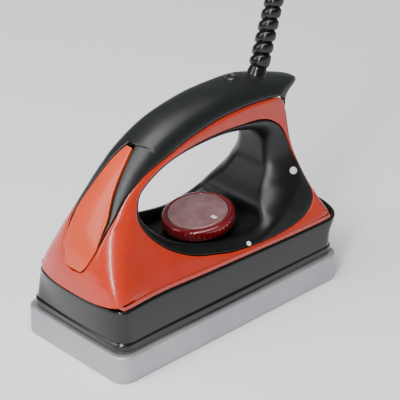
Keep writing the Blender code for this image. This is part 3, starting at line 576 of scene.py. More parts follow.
# %% A soft skin as nodes
def soft_skin(name, colour, worn, roughness, sheen, grain, grain_scale):
    paint = bpy.data.materials.new(name)
    paint.use_nodes = True
    tree = paint.node_tree
    tree.nodes.clear()
    links = tree.links

    place = tree.nodes.new("ShaderNodeTexCoord")
    place.label = "Where on the piece"
    wear_frame = tree.nodes.new("NodeFrame")
    wear_frame.label = "Rubbed and dusty places"
    rubbed = tree.nodes.new("ShaderNodeTexNoise")
    rubbed.label = "Where hands rub"
    rubbed.inputs["Scale"].default_value = 38.0
    rubbed.inputs["Detail"].default_value = 5.0
    shades = tree.nodes.new("ShaderNodeValToRGB")
    shades.label = "Clean to rubbed"
    shades.color_ramp.elements[0].position = 0.42
    shades.color_ramp.elements[0].color = (*colour, 1)
    shades.color_ramp.elements[1].position = 0.85
    shades.color_ramp.elements[1].color = (*worn, 1)
    polish = tree.nodes.new("ShaderNodeMapRange")
    polish.label = "Rubbed places shine more"
    polish.inputs["From Min"].default_value = 0.3
    polish.inputs["From Max"].default_value = 0.8
    polish.inputs["To Min"].default_value = roughness
    polish.inputs["To Max"].default_value = roughness - 0.14
    rubbed.parent = shades.parent = polish.parent = wear_frame
    links.new(place.outputs["Object"], rubbed.inputs["Vector"])
    links.new(rubbed.outputs["Fac"], shades.inputs["Fac"])
    links.new(rubbed.outputs["Fac"], polish.inputs["Value"])

    grain_frame = tree.nodes.new("NodeFrame")
    grain_frame.label = "Pebbled grain"
    pebbles = tree.nodes.new("ShaderNodeTexVoronoi")
    pebbles.label = "Pebbles of the mould's texture"
    pebbles.inputs["Scale"].default_value = grain_scale
    dust = tree.nodes.new("ShaderNodeTexNoise")
    dust.label = "Finer grain between them"
    dust.inputs["Scale"].default_value = grain_scale * 3
    pebble_bump = tree.nodes.new("ShaderNodeBump")
    pebble_bump.label = "Raise the pebbles"
    pebble_bump.inputs["Strength"].default_value = grain
    pebble_bump.inputs["Distance"].default_value = 0.00012
    dust_bump = tree.nodes.new("ShaderNodeBump")
    dust_bump.label = "Raise the fine grain"
    dust_bump.inputs["Strength"].default_value = grain * 0.5
    dust_bump.inputs["Distance"].default_value = 0.00005
    pebbles.parent = dust.parent = pebble_bump.parent = dust_bump.parent = grain_frame
    links.new(place.outputs["Object"], pebbles.inputs["Vector"])
    links.new(place.outputs["Object"], dust.inputs["Vector"])
    links.new(pebbles.outputs["Distance"], pebble_bump.inputs["Height"])
    links.new(dust.outputs["Fac"], dust_bump.inputs["Height"])
    links.new(pebble_bump.outputs["Normal"], dust_bump.inputs["Normal"])

    shader = tree.nodes.new("ShaderNodeBsdfPrincipled")
    shader.label = "Soft skin"
    shader.inputs["Sheen Weight"].default_value = sheen
    shader.inputs["Sheen Roughness"].default_value = 0.45
    shader.inputs["Sheen Tint"].default_value = (0.80, 0.84, 0.80, 1)
    links.new(shades.outputs["Color"], shader.inputs["Base Color"])
    links.new(polish.outputs["Result"], shader.inputs["Roughness"])
    links.new(dust_bump.outputs["Normal"], shader.inputs["Normal"])
    out = tree.nodes.new("ShaderNodeOutputMaterial")
    out.label = "Surface"
    links.new(shader.outputs["BSDF"], out.inputs["Surface"])
    for column, group in enumerate(
        ((place,), (rubbed, pebbles, dust), (shades, polish, pebble_bump), (dust_bump,), (shader,), (out,))
    ):
        for row, node in enumerate(group):
            node.location = (column * 240, -row * 260)
    return paint


GRIP_SOFT = soft_skin(
    "soft_touch", (0.0040, 0.0055, 0.0048), (0.007, 0.009, 0.008), 0.44, 0.04, 0.35, 1100.0
)
CORD_RUBBER = soft_skin("lead_rubber", (0.005, 0.005, 0.005), (0.009, 0.009, 0.009), 0.42, 0.04, 0.25, 900.0)
BOOT_RUBBER = soft_skin("boot_rubber", (0.003, 0.003, 0.003), (0.006, 0.006, 0.006), 0.26, 0.0, 0.15, 900.0)
PLUG_RUBBER = soft_skin(
    "moulded_rubber", (0.010, 0.010, 0.010), (0.018, 0.018, 0.018), 0.44, 0.08, 0.3, 700.0
)
print("soft skins:", GRIP_SOFT.name, CORD_RUBBER.name, BOOT_RUBBER.name, PLUG_RUBBER.name)

# %% [markdown]
# ## Worked metal
# The sole is cast aluminium, milled flat below and blasted on its sides, with fine scratches along its
# length and brighter edges where skis have rubbed it. Other metal parts are stamped or turned. All of
# them are one make-up: noise stretched along the working direction for the grain, and speckle for the
# blasted skin.

# %% A metal as nodes
def worked_metal(
    name, colour, stained, roughness, metallic=1.0, stretch=(60.0, 900.0, 900.0), speckle=0.15, scratch=0.2
):
    paint = bpy.data.materials.new(name)
    paint.use_nodes = True
    tree = paint.node_tree
    tree.nodes.clear()
    links = tree.links

    place = tree.nodes.new("ShaderNodeTexCoord")
    place.label = "Where on the piece"
    worked = tree.nodes.new("ShaderNodeMapping")
    worked.label = "Stretched along the working direction"
    worked.inputs["Scale"].default_value = stretch
    links.new(place.outputs["Object"], worked.inputs["Vector"])

    stain_frame = tree.nodes.new("NodeFrame")
    stain_frame.label = "Heat and oxide stains"
    stains = tree.nodes.new("ShaderNodeTexNoise")
    stains.label = "Cloudy oxide"
    stains.inputs["Scale"].default_value = 30.0
    stains.inputs["Detail"].default_value = 7.0
    shades = tree.nodes.new("ShaderNodeValToRGB")
    shades.label = "Bright to stained"
    shades.color_ramp.elements[0].position = 0.38
    shades.color_ramp.elements[0].color = (*colour, 1)
    shades.color_ramp.elements[1].position = 0.72
    shades.color_ramp.elements[1].color = (*stained, 1)
    stains.parent = shades.parent = stain_frame
    links.new(place.outputs["Object"], stains.inputs["Vector"])
    links.new(stains.outputs["Fac"], shades.inputs["Fac"])

    scratch_frame = tree.nodes.new("NodeFrame")
    scratch_frame.label = "Scratches and blasted skin"
    lines = tree.nodes.new("ShaderNodeTexNoise")
    lines.label = "Long fine scratches"
    lines.inputs["Scale"].default_value = 1.0
    lines.inputs["Detail"].default_value = 4.0
    blasted = tree.nodes.new("ShaderNodeTexNoise")
    blasted.label = "Blasted speckle"
    blasted.inputs["Scale"].default_value = 1700.0
    dulling = tree.nodes.new("ShaderNodeMapRange")
    dulling.label = "Scratches scatter light"
    dulling.inputs["From Min"].default_value = 0.3
    dulling.inputs["From Max"].default_value = 0.7
    dulling.inputs["To Min"].default_value = roughness - 0.07
    dulling.inputs["To Max"].default_value = roughness + 0.10
    line_bump = tree.nodes.new("ShaderNodeBump")
    line_bump.label = "Cut the scratches"
    line_bump.inputs["Strength"].default_value = scratch
    line_bump.inputs["Distance"].default_value = 0.00004
    speck_bump = tree.nodes.new("ShaderNodeBump")
    speck_bump.label = "Raise the speckle"
    speck_bump.inputs["Strength"].default_value = speckle
    speck_bump.inputs["Distance"].default_value = 0.00006
    lines.parent = blasted.parent = dulling.parent = line_bump.parent = speck_bump.parent = scratch_frame
    links.new(worked.outputs["Vector"], lines.inputs["Vector"])
    links.new(place.outputs["Object"], blasted.inputs["Vector"])
    links.new(lines.outputs["Fac"], dulling.inputs["Value"])
    links.new(lines.outputs["Fac"], line_bump.inputs["Height"])
    links.new(blasted.outputs["Fac"], speck_bump.inputs["Height"])
    links.new(line_bump.outputs["Normal"], speck_bump.inputs["Normal"])

    shader = tree.nodes.new("ShaderNodeBsdfPrincipled")
    shader.label = "Metal"
    shader.inputs["Metallic"].default_value = metallic
    links.new(shades.outputs["Color"], shader.inputs["Base Color"])
    links.new(dulling.outputs["Result"], shader.inputs["Roughness"])
    links.new(speck_bump.outputs["Normal"], shader.inputs["Normal"])
    out = tree.nodes.new("ShaderNodeOutputMaterial")
    out.label = "Surface"
    links.new(shader.outputs["BSDF"], out.inputs["Surface"])
    for column, group in enumerate((
        (place,), (worked,), (stains, lines, blasted), (shades, dulling, line_bump), (speck_bump,),
        (shader,), (out,),
    )):
        for row, node in enumerate(group):
            node.location = (column * 240, -row * 260)
    return paint


SOLE_METAL = worked_metal("cast_aluminium", (0.44, 0.44, 0.455), (0.38, 0.38, 0.40), 0.46, 0.75, speckle=0.3)
STEEL = worked_metal("zinc_steel", (0.52, 0.53, 0.54), (0.44, 0.43, 0.40), 0.30)
SHEET_STEEL = worked_metal("sheet_steel", (0.46, 0.46, 0.47), (0.36, 0.33, 0.30), 0.36)
ELEMENT_STEEL = worked_metal("heated_steel", (0.24, 0.23, 0.22), (0.15, 0.13, 0.12), 0.45)
BRASS = worked_metal("turned_brass", (0.62, 0.43, 0.16), (0.45, 0.29, 0.10), 0.26)
BIMETAL = worked_metal("rolled_bimetal", (0.55, 0.50, 0.42), (0.42, 0.32, 0.26), 0.33)
NICKEL = worked_metal("nickel", (0.62, 0.60, 0.56), (0.54, 0.52, 0.47), 0.20)
CERAMIC = worked_metal(
    "steatite", (0.72, 0.69, 0.62), (0.62, 0.58, 0.50), 0.52, 0.0, (900, 900, 900), 0.4, 0.1
)
GASKET = worked_metal(
    "mica_board", (0.26, 0.22, 0.17), (0.16, 0.13, 0.10), 0.75, 0.0, (300, 300, 1500), 0.6, 0.5
)
LAMP_GLASS = moulded_plastic(
    "lamp_glass", (0.80, 0.45, 0.25), (0.70, 0.38, 0.20), 0.06, 0.3, 0.02, 1500.0, 0.6
)
print("metals:", SOLE_METAL.name, STEEL.name, BRASS.name)

# %% [markdown]
# ## Paint the parts inside
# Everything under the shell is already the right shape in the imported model: the heating element, the
# clamps, the thermostat and the wiring. Those parts keep their meshes and only get a finish.

# %% Finishes of the parts inside
INSIDE = {
    STEEL: (
        "clamp_screw_front", "clamp_screw_rear", "clamp_screw_left", "clamp_screw_right", "grip_screw",
        "shield_screw_1", "shield_screw_2", "shield_screw_3", "thermostat_screw_left",
        "thermostat_screw_right", "shield_post_1", "shield_post_2", "shield_post_3", "thermostat_spindle",
    ),
    SHEET_STEEL: ("element_clamp_front", "element_clamp_rear", "heat_shield", "thermostat_bridge"),
    ELEMENT_STEEL: ("heating_element",),
    BRASS: (
        "element_terminal_left", "element_terminal_right", "spindle_bush", "contact_leaf_lower",
        "contact_leaf_upper", "terminal_screw_live", "terminal_screw_earth", "terminal_screw_neutral",
    ),
    BIMETAL: ("bimetal_strip", "thermal_fuse"),
    CERAMIC: ("thermostat_base", "terminal_block", "adjuster_pin"),
    GASKET: ("sole_gasket",),
    LAMP_GLASS: ("neon_lamp",),
    NYLON_BLACK: ("cord_clamp",),
    LEAD_COLOURS["live_lead"]: ("live_lead",),
    LEAD_COLOURS["neutral_lead"]: ("neutral_lead",),
    LEAD_COLOURS["earth_lead"]: ("earth_lead",),
}
for paint, nodes in INSIDE.items():
    for node in nodes:
        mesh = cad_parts[node].data
        mesh.materials.clear()
        mesh.materials.append(paint)
print("painted inside:", sum(len(nodes) for nodes in INSIDE.values()))

# %% [markdown]
# ## The orange shell
# The shell is the moulding that gives the iron its colour. It runs all round the opening, down the nose
# and up the rear stay, and stops under the grip cover and the nose panel. Its patch of the skin is cut
# out by two edge tables, so that its neighbours can follow the same edges with a small gap.

# %% Edges shared by the mouldings
GRIP_TIP, GRIP_FRONT, GRIP_END = 19.3, 22.3, 27.6
GRIP_EDGE = table((
    (19.3, 1.665), (19.8, 1.56), (20.4, 1.42), (21.3, 1.2), (22.3, 1.08), (24.5, 1.1), (26, 1.1),
    (27.6, 1.15),
))
PANEL_TIP = 18.05
PANEL_EDGE = table((
    (18.05, 2.0), (18.1, 1.93), (18.2, 1.885), (18.4, 1.835), (18.7, 1.775), (19.2, 1.67), (20.2, 1.575),
    (20.8, 1.61), (21.3, 1.7), (21.84, 1.82), (22.3, 1.95),
))


def grip_edge(u):
    """s of the grip cover's lower edge, or 2 where there is no cover."""
    u = u if u > 10 else u + LOOP
    return GRIP_EDGE(u) if GRIP_TIP <= u <= GRIP_END else 2.0


def panel_edge(u):
    """s of the nose panel's edge, or 2 where there is no panel."""
    u = u if u > 10 else u + LOOP
    return PANEL_EDGE(u) if PANEL_TIP <= u <= GRIP_FRONT else 2.0


def shell_columns(u):
    edge = min(grip_edge(u), panel_edge(u))
    first = moved(u, 0.0, SEAM / 2)
    if edge < 2:
        edge = moved(u, edge, -SEAM / 2)
        return mirrored(lipped(u, first, edge, 12, True, True))
    over = [(s, 0.0) for s in (1.66, 1.76, 1.84, 1.91, 1.97, 2 - TINY / 10)]
    return mirrored(lipped(u, first, 1.9, 12)[:-3] + over)


# %% Make the shell
shell_rows = spread(
    (0, 24), (7.4, 3), (7.6, 1), (7.68, 28), (12, 22), (17, 10), (18.0, 2), (18.06, 3), (18.2, 5), (18.6, 12),
    20,
)[:-1]
middle_column = len(shell_columns(9.0)) // 2 - 1
make_piece(
    "shell", sheet_mesh(shell_rows, shell_columns, skin_point, lambda u, c: c != middle_column, True),
    ORANGE, ["main_shell"], recalculate=False,
)

# %% Make the liner of the opening
def liner_columns(u):
    """The same number of columns at every u, so that the grid stays regular."""
    edge = moved(u, 0.0, -SEAM / 2)
    lip = [(moved(u, edge, -d), sink) for d, sink in EDGE_LIP]
    start = lip[-1][0]
    run = [start + (-0.88 - start) * k / 8 for k in range(1, 9)]
    over_lip = [-0.93, -0.97, -1.0, -1.03, -1.06, -1.09, -1.12, -1.16, -1.4, -1.7, -2.0]
    half = lip + [(s, 0.0) for s in run + over_lip]
    return half + [(-4 - s, sink) for s, sink in reversed(half[:-1])]


liner_rows = spread((0, 60), (12, 30), (17, 18), 20)[:-1]
make_piece(
    "opening_liner_skin", sheet_mesh(liner_rows, liner_columns, skin_point, closed=True), LINER_BLACK,
    ["opening_liner"], recalculate=False,
)

# %% [markdown]
# ## The soft grip
# The cover is moulded over the top of the handle. Its front end forks into two tongues that run down
# beside the nose panel, and its rear end stands out in a small hook that stops the hand. The hook is a
# smooth bulge added to the skin, so it needs no join.

# %% Make the grip cover
HOOK_REACH, HOOK_DROP = 20.0, 3.5


def grip_place(u, s):
    around = u if u > 10 else u + LOOP
    reach = math.exp(-(((around - 27.1) / 0.42) ** 2)) * math.exp(-(((s - 2) / 0.48) ** 2))
    return skin_point(u, s) + np.array([-HOOK_REACH * reach, 0, -HOOK_DROP * reach])


FORK_CELLS = 10


def grip_columns(u):
    edge = moved(u, min(grip_edge(u), 1.97), SEAM / 2)
    forked = PANEL_TIP <= u <= GRIP_FRONT
    middle = moved(u, panel_edge(u), -SEAM * 0.8) if forked else (edge + 2) / 2
    middle = max(middle, edge + 0.012)
    half = lipped(u, edge, middle, FORK_CELLS, True, forked)
    if not forked:
        half = half[:-1] + [(half[-2][0] + (middle - half[-2][0]) * k / 4, 0.0) for k in (1, 2, 3, 4)]
    return mirrored(half + [(middle + (2 - middle) * k / 8, 0.0) for k in range(1, 9)])


fork_column = FORK_CELLS + 6
last_column = 2 * (fork_column + 8) - fork_column - 1
grip_rows = spread((19.36, 10), (20, 26), (22.3, 1), (22.38, 44), (26, 22), 27.5)
make_piece(
    "grip_skin",
    sheet_mesh(
        grip_rows, grip_columns, grip_place,
        lambda u, c: u >= GRIP_FRONT or not fork_column <= c <= last_column,
    ),
    GRIP_SOFT, ["grip_cover"], recalculate=False,
)

# %% [markdown]
# ## The nose panel
# A teardrop of lighter orange is let into the nose, with a groove round it deep enough to look black. The
# groove is a real gap: the panel's edge is rounded and sinks, and the shell and cover stop a little way
# off.

# %% Make the nose panel
def panel_columns(u):
    edge = min(moved(u, panel_edge(u), SEAM * 0.8), 1.975)
    return mirrored(lipped(u, edge, 2.0, 8, True, False))


panel_rows = spread((18.14, 5), (18.3, 6), (18.7, 8), (20, 20), 22.2)
make_piece(
    "nose_panel_skin", sheet_mesh(panel_rows, panel_columns, skin_point), PANEL_ORANGE,
    ["nose_panel"], recalculate=False,
)

# %% [markdown]
# ## The lower housing
# The glossy black skirt joins the body to the sole. It is a sheet between two outlines: the body's lower
# edge above and the sole's outline, set in a little, below. A rolled rim along its foot hides the gasket,
# and a small lip stands out behind.

# %% Outlines of the skirt
PLATE_LENGTH, PLATE_WIDTH, PLATE_THICK, PLATE_CORNER = 165.0, 80.0, 16.0, 8.0
SKIRT_FOOT, SKIRT_INSET = 17.8, 2.6
END_SHARE = 0.2


def plate_outline(inset, share):
    """Half the outline, from the middle of the rear (0) round the left side to the nose (1)."""
    x, y, r = PLATE_LENGTH / 2 - inset, PLATE_WIDTH / 2 - inset, PLATE_CORNER
    if share < END_SHARE or share > 1 - END_SHARE:
        end = -1 if share < 0.5 else 1
        across = min(share, 1 - share) / END_SHARE * (y - r + math.pi * r / 2)
        if across < y - r:
            return np.array([end * x, across])
        turn = (across - (y - r)) / r
        return np.array([end * (x - r + r * math.cos(turn)), y - r + r * math.sin(turn)])
    run = (share - END_SHARE) / (1 - 2 * END_SHARE)
    return np.array([-(x - r) + 2 * (x - r) * run, y])


def skirt_top(share):
    if share < END_SHARE:
        u = REAR_CORNER + 0.3 * (share / END_SHARE) ** 1.6
    elif share > 1 - END_SHARE:
        u = NOSE_CORNER - 0.3 * ((1 - share) / END_SHARE) ** 1.6
    else:
        run = (share - END_SHARE) / (1 - 2 * END_SHARE)
        u = REAR_CORNER + 0.3 + (NOSE_CORNER - REAR_CORNER - 0.6) * run
    return skin_point(u, 2.0)


def skirt_point(share, down):
    """share runs 0 to 1 along the left side, and on to 2 along the right one."""
    if share > 1:
        return skirt_point(2 - share, down) * (1, -1, 1)
    if share < 0:
        return skirt_point(-share, down) * (1, -1, 1)
    top, foot = skirt_top(share), plate_outline(SKIRT_INSET, share)
    rear = max(0.0, 1 - share / END_SHARE) ** 0.5
    lip = rear * math.exp(-(((down - 0.1) / 0.22) ** 2))
    rim = 0.9 * ease((down - 0.80) / 0.05)
    outward = foot / np.linalg.norm(foot)
    return np.array([
        top[0] + (foot[0] - top[0]) * down - 7.5 * lip + rim * outward[0],
        top[1] + (foot[1] - top[1]) * abs(down) ** 0.8 + rim * outward[1],
        top[2] - SEAM + (SKIRT_FOOT - top[2] + SEAM) * down + 1.2 * lip,
    ])


# %% Make the skirt
FOOT_LIP = [(1, 0.5), (0.985, 0.2), (0.96, 0.03)]
TOP_LIP = [(0.045, 0.03), (0.018, 0.2), (0, 0.5)]
PLAIN_DOWNS = (
    0.93, 0.9, 0.87, 0.85, 0.835, 0.82, 0.8, 0.77, 0.7, 0.62, 0.54, 0.46, 0.38, 0.3, 0.23, 0.17, 0.12, 0.08,
)
SKIRT_DOWNS = FOOT_LIP + [(down, 0) for down in PLAIN_DOWNS] + TOP_LIP
half_shares = spread((0, 26), (END_SHARE, 36), (1 - END_SHARE, 26), 1.0)
skirt_shares = half_shares + [2 - share for share in reversed(half_shares[1:-1])]
make_piece(
    "skirt_skin", sheet_mesh(skirt_shares, lambda share: SKIRT_DOWNS, skirt_point, closed=True), SKIRT_BLACK,
    ["skirt"], sharp=50.0, recalculate=False,
)

# %% [markdown]
# ## The sole
# The sole is a thick block of aluminium with rounded corners and a groove above for the heating element.
# A cube is bevelled twice: first its four upright edges, with the real corner radius, and then all the
# edges round its top and bottom, just enough to break them. A Boolean then cuts the groove and the screw
# holes.

# %% A turned shape
def placed(at, axis):
    """The matrix that stands a shape on a point, with its own z along the axis."""
    return Matrix.Translation(at) @ Vector((0, 0, 1)).rotation_difference(Vector(axis)).to_matrix().to_4x4()


def turned(profile, at=(0, 0, 0), axis=(0, 0, 1), steps=48):
    """A solid of revolution of the profile's (radius, height), from the point and along the axis given."""
    bm = bmesh.new()
    corners = [bm.verts.new((radius, 0, height)) for radius, height in profile]
    edges = [bm.edges.new(pair) for pair in zip(corners, corners[1:])]
    bmesh.ops.spin(
        bm, geom=edges + corners, axis=(0, 0, 1), cent=(0, 0, 0), angle=math.tau, steps=steps, use_merge=True
    )
    bmesh.ops.remove_doubles(bm, verts=bm.verts, dist=0.001)
    bmesh.ops.transform(bm, matrix=placed(at, axis), verts=bm.verts)
    bmesh.ops.recalc_face_normals(bm, faces=bm.faces)
    return bm


def add_turned(bm, profile, at=(0, 0, 0), axis=(0, 0, 1), steps=48):
    """Adds a turned shape to a mesh that already holds others."""
    part = turned(profile, at, axis, steps)
    spare = bpy.data.meshes.new("spare")
    part.to_mesh(spare)
    part.free()
    bm.from_mesh(spare)
    bpy.data.meshes.remove(spare)


# %% Make the sole
bm = bmesh.new()
bmesh.ops.create_cube(bm, size=1)
bmesh.ops.scale(bm, verts=bm.verts, vec=(PLATE_LENGTH, PLATE_WIDTH, PLATE_THICK))
bmesh.ops.translate(bm, verts=bm.verts, vec=(0, 0, PLATE_THICK / 2))
upright = [e for e in bm.edges if abs(e.verts[0].co.z - e.verts[1].co.z) > 1]
bmesh.ops.bevel(bm, geom=upright, offset=PLATE_CORNER, segments=14, profile=0.5, affect="EDGES", material=-1)
level = [e for e in bm.edges if abs(e.verts[0].co.z - e.verts[1].co.z) < 0.01]
bmesh.ops.bevel(bm, geom=level, offset=0.9, segments=4, profile=0.5, affect="EDGES", material=-1)
sole = make_piece("sole_block", bm, SOLE_METAL, ["sole_plate"], sharp=30.0)

half_gap, element_z, cut_radius = 24.0, 13.5, 3.9
groove_route = [(-62, half_gap, 27), (-62, half_gap, 21), (-59, half_gap, 15.2), (-52, half_gap, element_z)]
turn_back = [
    (40 + half_gap * math.sin(a), half_gap * math.cos(a), element_z) for a in np.linspace(0, math.pi, 25)
]
full_route = groove_route + turn_back + [(x, -y, z) for x, y, z in reversed(groove_route)]
cutter_mesh = tube_mesh("groove", full_route, cut_radius, 4)
bm = bmesh.new()
bm.from_mesh(cutter_mesh)
bmesh.ops.scale(bm, verts=bm.verts, vec=(1 / MM, 1 / MM, 1 / MM))
for x, y, depth in ((22, 0, 9), (-46, 0, 9), (-12, 13, 8), (-12, -13, 8)):
    add_turned(bm, [(0, 0), (2.4, 0), (2.4, 20), (0, 20)], (x, y, 17 - depth), steps=20)
bmesh.ops.scale(bm, verts=bm.verts, vec=(MM, MM, MM))
bmesh.ops.recalc_face_normals(bm, faces=bm.faces)
bm.to_mesh(cutter_mesh)
bm.free()
cutter = bpy.data.objects.new("sole_cutter", cutter_mesh)
bpy.context.scene.collection.objects.link(cutter)
cut = sole.modifiers.new("groove", "BOOLEAN")
cut.solver = "EXACT"
cut.object = cutter
carved = bpy.data.meshes.new_from_object(sole.evaluated_get(bpy.context.evaluated_depsgraph_get()))
sole.modifiers.clear()
sole.data = carved
carved.shade_smooth()
carved.set_sharp_from_angle(angle=math.radians(30))
bpy.data.objects.remove(cutter)
print("sole faces:", len(carved.polygons))

# %% [markdown]
# ## The thermostat dial
# The dial is a clear red disc with a printed metal face on top. Its rim is fluted for the fingers, so the
# disc is spun with many steps and a wave that runs round it draws the rim in a little. The face is its
# own piece, because its finish is different, and both ride on the dial's body so that they turn with it.

# %% Make the dial
DIAL_TILT = math.radians(8)
DIAL_AXIS = Vector((math.sin(DIAL_TILT), 0, math.cos(DIAL_TILT)))
DIAL_FOOT = Vector((-10, 0, 47.2))
DIAL_RADIUS, DIAL_THICK, SOCKET = 20.5, 7.0, 3.3
DIAL_FLUTES, FLUTE_DEPTH = 44, 0.42
r, t = DIAL_RADIUS, DIAL_THICK
rim = [
    (SOCKET, 0), (r - 2.2, 0), (r - 1.2, 0.12), (r - 0.4, 0.5), (r, 1.2), (r, t - 2.2), (r - 0.25, t - 1.4),
    (r - 0.8, t - 0.7), (r - 1.6, t - 0.3), (r - 2.4, t - 0.2), (r - 3.2, t - 0.25), (r - 3.4, t - 0.5),
    (r - 3.4, t - 1.8), (SOCKET, t - 1.8), (SOCKET, 0),
]
bm = turned(rim, steps=DIAL_FLUTES * 4)
for spot in bm.verts:
    radius = math.hypot(spot.co.x, spot.co.y)
    grip_zone = ease((radius - (r - 1.0)) / 0.8) * ease((t - 1.0 - spot.co.z) / 1.0)
    wave = 0.5 - 0.5 * math.cos(DIAL_FLUTES * math.atan2(spot.co.y, spot.co.x))
    pull = 1 - FLUTE_DEPTH * grip_zone * wave / max(radius, 1.0)
    spot.co.x *= pull
    spot.co.y *= pull
to_dial = placed(DIAL_FOOT, DIAL_AXIS)
bmesh.ops.transform(bm, matrix=to_dial, verts=bm.verts)
make_piece("dial_disc", bm, DIAL_RED, ["dial_body"], "dial", 35.0)

# %% Printed face of the dial
def printed_face(name, ground, glow, ink, marks):
    """A lacquered metal face with a ring of ticks, drawn by angle round the dial's own axis."""
    paint = bpy.data.materials.new(name)
    paint.use_nodes = True
    tree = paint.node_tree
    tree.nodes.clear()
    links = tree.links

    place = tree.nodes.new("ShaderNodeTexCoord")
    place.label = "Where on the iron"
    centre = tree.nodes.new("ShaderNodeMapping")
    centre.label = "Centred on the dial's axis"
    centre.inputs["Location"].default_value = (-DIAL_FOOT.x * MM, 0, 0)
    links.new(place.outputs["Object"], centre.inputs["Vector"])

    tick_frame = tree.nodes.new("NodeFrame")
    tick_frame.label = "Ring of ticks"
    split = tree.nodes.new("ShaderNodeSeparateXYZ")
    split.label = "Across and along"
    angle = tree.nodes.new("ShaderNodeMath")
    angle.label = "Angle round the axis"
    angle.operation = "ARCTAN2"
    steps = tree.nodes.new("ShaderNodeMath")
    steps.label = "One wave per tick"
    steps.operation = "MULTIPLY"
    steps.inputs[1].default_value = marks
    wave = tree.nodes.new("ShaderNodeMath")
    wave.label = "Wave"
    wave.operation = "COSINE"
    thin = tree.nodes.new("ShaderNodeMath")
    thin.label = "Only its crest"
    thin.operation = "GREATER_THAN"
    thin.inputs[1].default_value = 0.86
    length = tree.nodes.new("ShaderNodeVectorMath")
    length.label = "Distance from the axis"
    length.operation = "LENGTH"
    flat = tree.nodes.new("ShaderNodeCombineXYZ")
    flat.label = "Without height"
    ring = tree.nodes.new("ShaderNodeValToRGB")
    ring.label = "Ring that holds the ticks"
    ring.color_ramp.interpolation = "CONSTANT"
    ring.color_ramp.elements[0].position = 0.0
    ring.color_ramp.elements[0].color = (0, 0, 0, 1)
    ring.color_ramp.elements[1].position = 0.0118
    ring.color_ramp.elements[1].color = (1, 1, 1, 1)
    ring.color_ramp.elements.new(0.0146).color = (0, 0, 0, 1)
    both = tree.nodes.new("ShaderNodeMath")
    both.label = "Tick inside the ring"
    both.operation = "MULTIPLY"
    for node in (split, angle, steps, wave, thin, length, flat, ring, both):
        node.parent = tick_frame
    links.new(centre.outputs["Vector"], split.inputs["Vector"])
    links.new(split.outputs["Y"], angle.inputs[0])
    links.new(split.outputs["X"], angle.inputs[1])
    links.new(angle.outputs["Value"], steps.inputs[0])
    links.new(steps.outputs["Value"], wave.inputs[0])
    links.new(wave.outputs["Value"], thin.inputs[0])
    links.new(split.outputs["X"], flat.inputs["X"])
    links.new(split.outputs["Y"], flat.inputs["Y"])
    links.new(flat.outputs["Vector"], length.inputs[0])
    links.new(length.outputs["Value"], ring.inputs["Fac"])
    links.new(ring.outputs["Color"], both.inputs[0])
    links.new(thin.outputs["Value"], both.inputs[1])

    ground_frame = tree.nodes.new("NodeFrame")
    ground_frame.label = "Lacquered ground"
    clouds = tree.nodes.new("ShaderNodeTexNoise")
    clouds.label = "Uneven lacquer"
    clouds.inputs["Scale"].default_value = 110.0
    clouds.inputs["Detail"].default_value = 4.0
    shades = tree.nodes.new("ShaderNodeValToRGB")
    shades.label = "Deeper to paler"
    shades.color_ramp.elements[0].position = 0.35
    shades.color_ramp.elements[0].color = (*ground, 1)
    shades.color_ramp.elements[1].position = 0.7
    shades.color_ramp.elements[1].color = (*glow, 1)
    print_mix = tree.nodes.new("ShaderNodeMix")
    print_mix.label = "Ink over the ground"
    print_mix.data_type = "RGBA"
    print_mix.inputs["B"].default_value = (*ink, 1)
    fine = tree.nodes.new("ShaderNodeTexNoise")
    fine.label = "Fine orange peel"
    fine.inputs["Scale"].default_value = 900.0
    bump = tree.nodes.new("ShaderNodeBump")
    bump.label = "Raise the orange peel"
    bump.inputs["Strength"].default_value = 0.06
    bump.inputs["Distance"].default_value = 0.0001
    for node in (clouds, shades, print_mix, fine, bump):
        node.parent = ground_frame
    links.new(place.outputs["Object"], clouds.inputs["Vector"])
    links.new(place.outputs["Object"], fine.inputs["Vector"])
    links.new(clouds.outputs["Fac"], shades.inputs["Fac"])
    links.new(shades.outputs["Color"], print_mix.inputs["A"])
    links.new(both.outputs["Value"], print_mix.inputs["Factor"])
    links.new(fine.outputs["Fac"], bump.inputs["Height"])

    shader = tree.nodes.new("ShaderNodeBsdfPrincipled")
    shader.label = "Lacquered face"
    shader.inputs["Roughness"].default_value = 0.22
    shader.inputs["Metallic"].default_value = 0.35
    shader.inputs["Coat Weight"].default_value = 0.7
    shader.inputs["Coat Roughness"].default_value = 0.05
    links.new(print_mix.outputs["Result"], shader.inputs["Base Color"])
    links.new(bump.outputs["Normal"], shader.inputs["Normal"])
    out = tree.nodes.new("ShaderNodeOutputMaterial")
    out.label = "Surface"
    links.new(shader.outputs["BSDF"], out.inputs["Surface"])
    for column, group in enumerate((
        (place,), (centre, clouds, fine), (split, shades, bump), (angle, flat), (steps, length), (wave, ring),
        (thin, both), (print_mix,), (shader,), (out,),
    )):
        for row, node in enumerate(group):
            node.location = (column * 220, -row * 260)
    return paint


DIAL_FACE = printed_face("dial_face_lacquer", (0.30, 0.14, 0.14), (0.42, 0.24, 0.24), (0.78, 0.74, 0.72), 24)
face = [
    (0, t - 1.5), (r - 3.8, t - 1.5), (r - 3.8, t + 0.02), (r - 4.0, t + 0.2), (r - 4.5, t + 0.38),
    (r - 5.4, t + 0.5), (r - 8, t + 0.68), (r - 12, t + 0.82), (0, t + 0.9),
]
make_piece(
    "dial_top", turned(face, DIAL_FOOT, DIAL_AXIS, 96), DIAL_FACE, ["dial_face"], "dial", 60.0
)

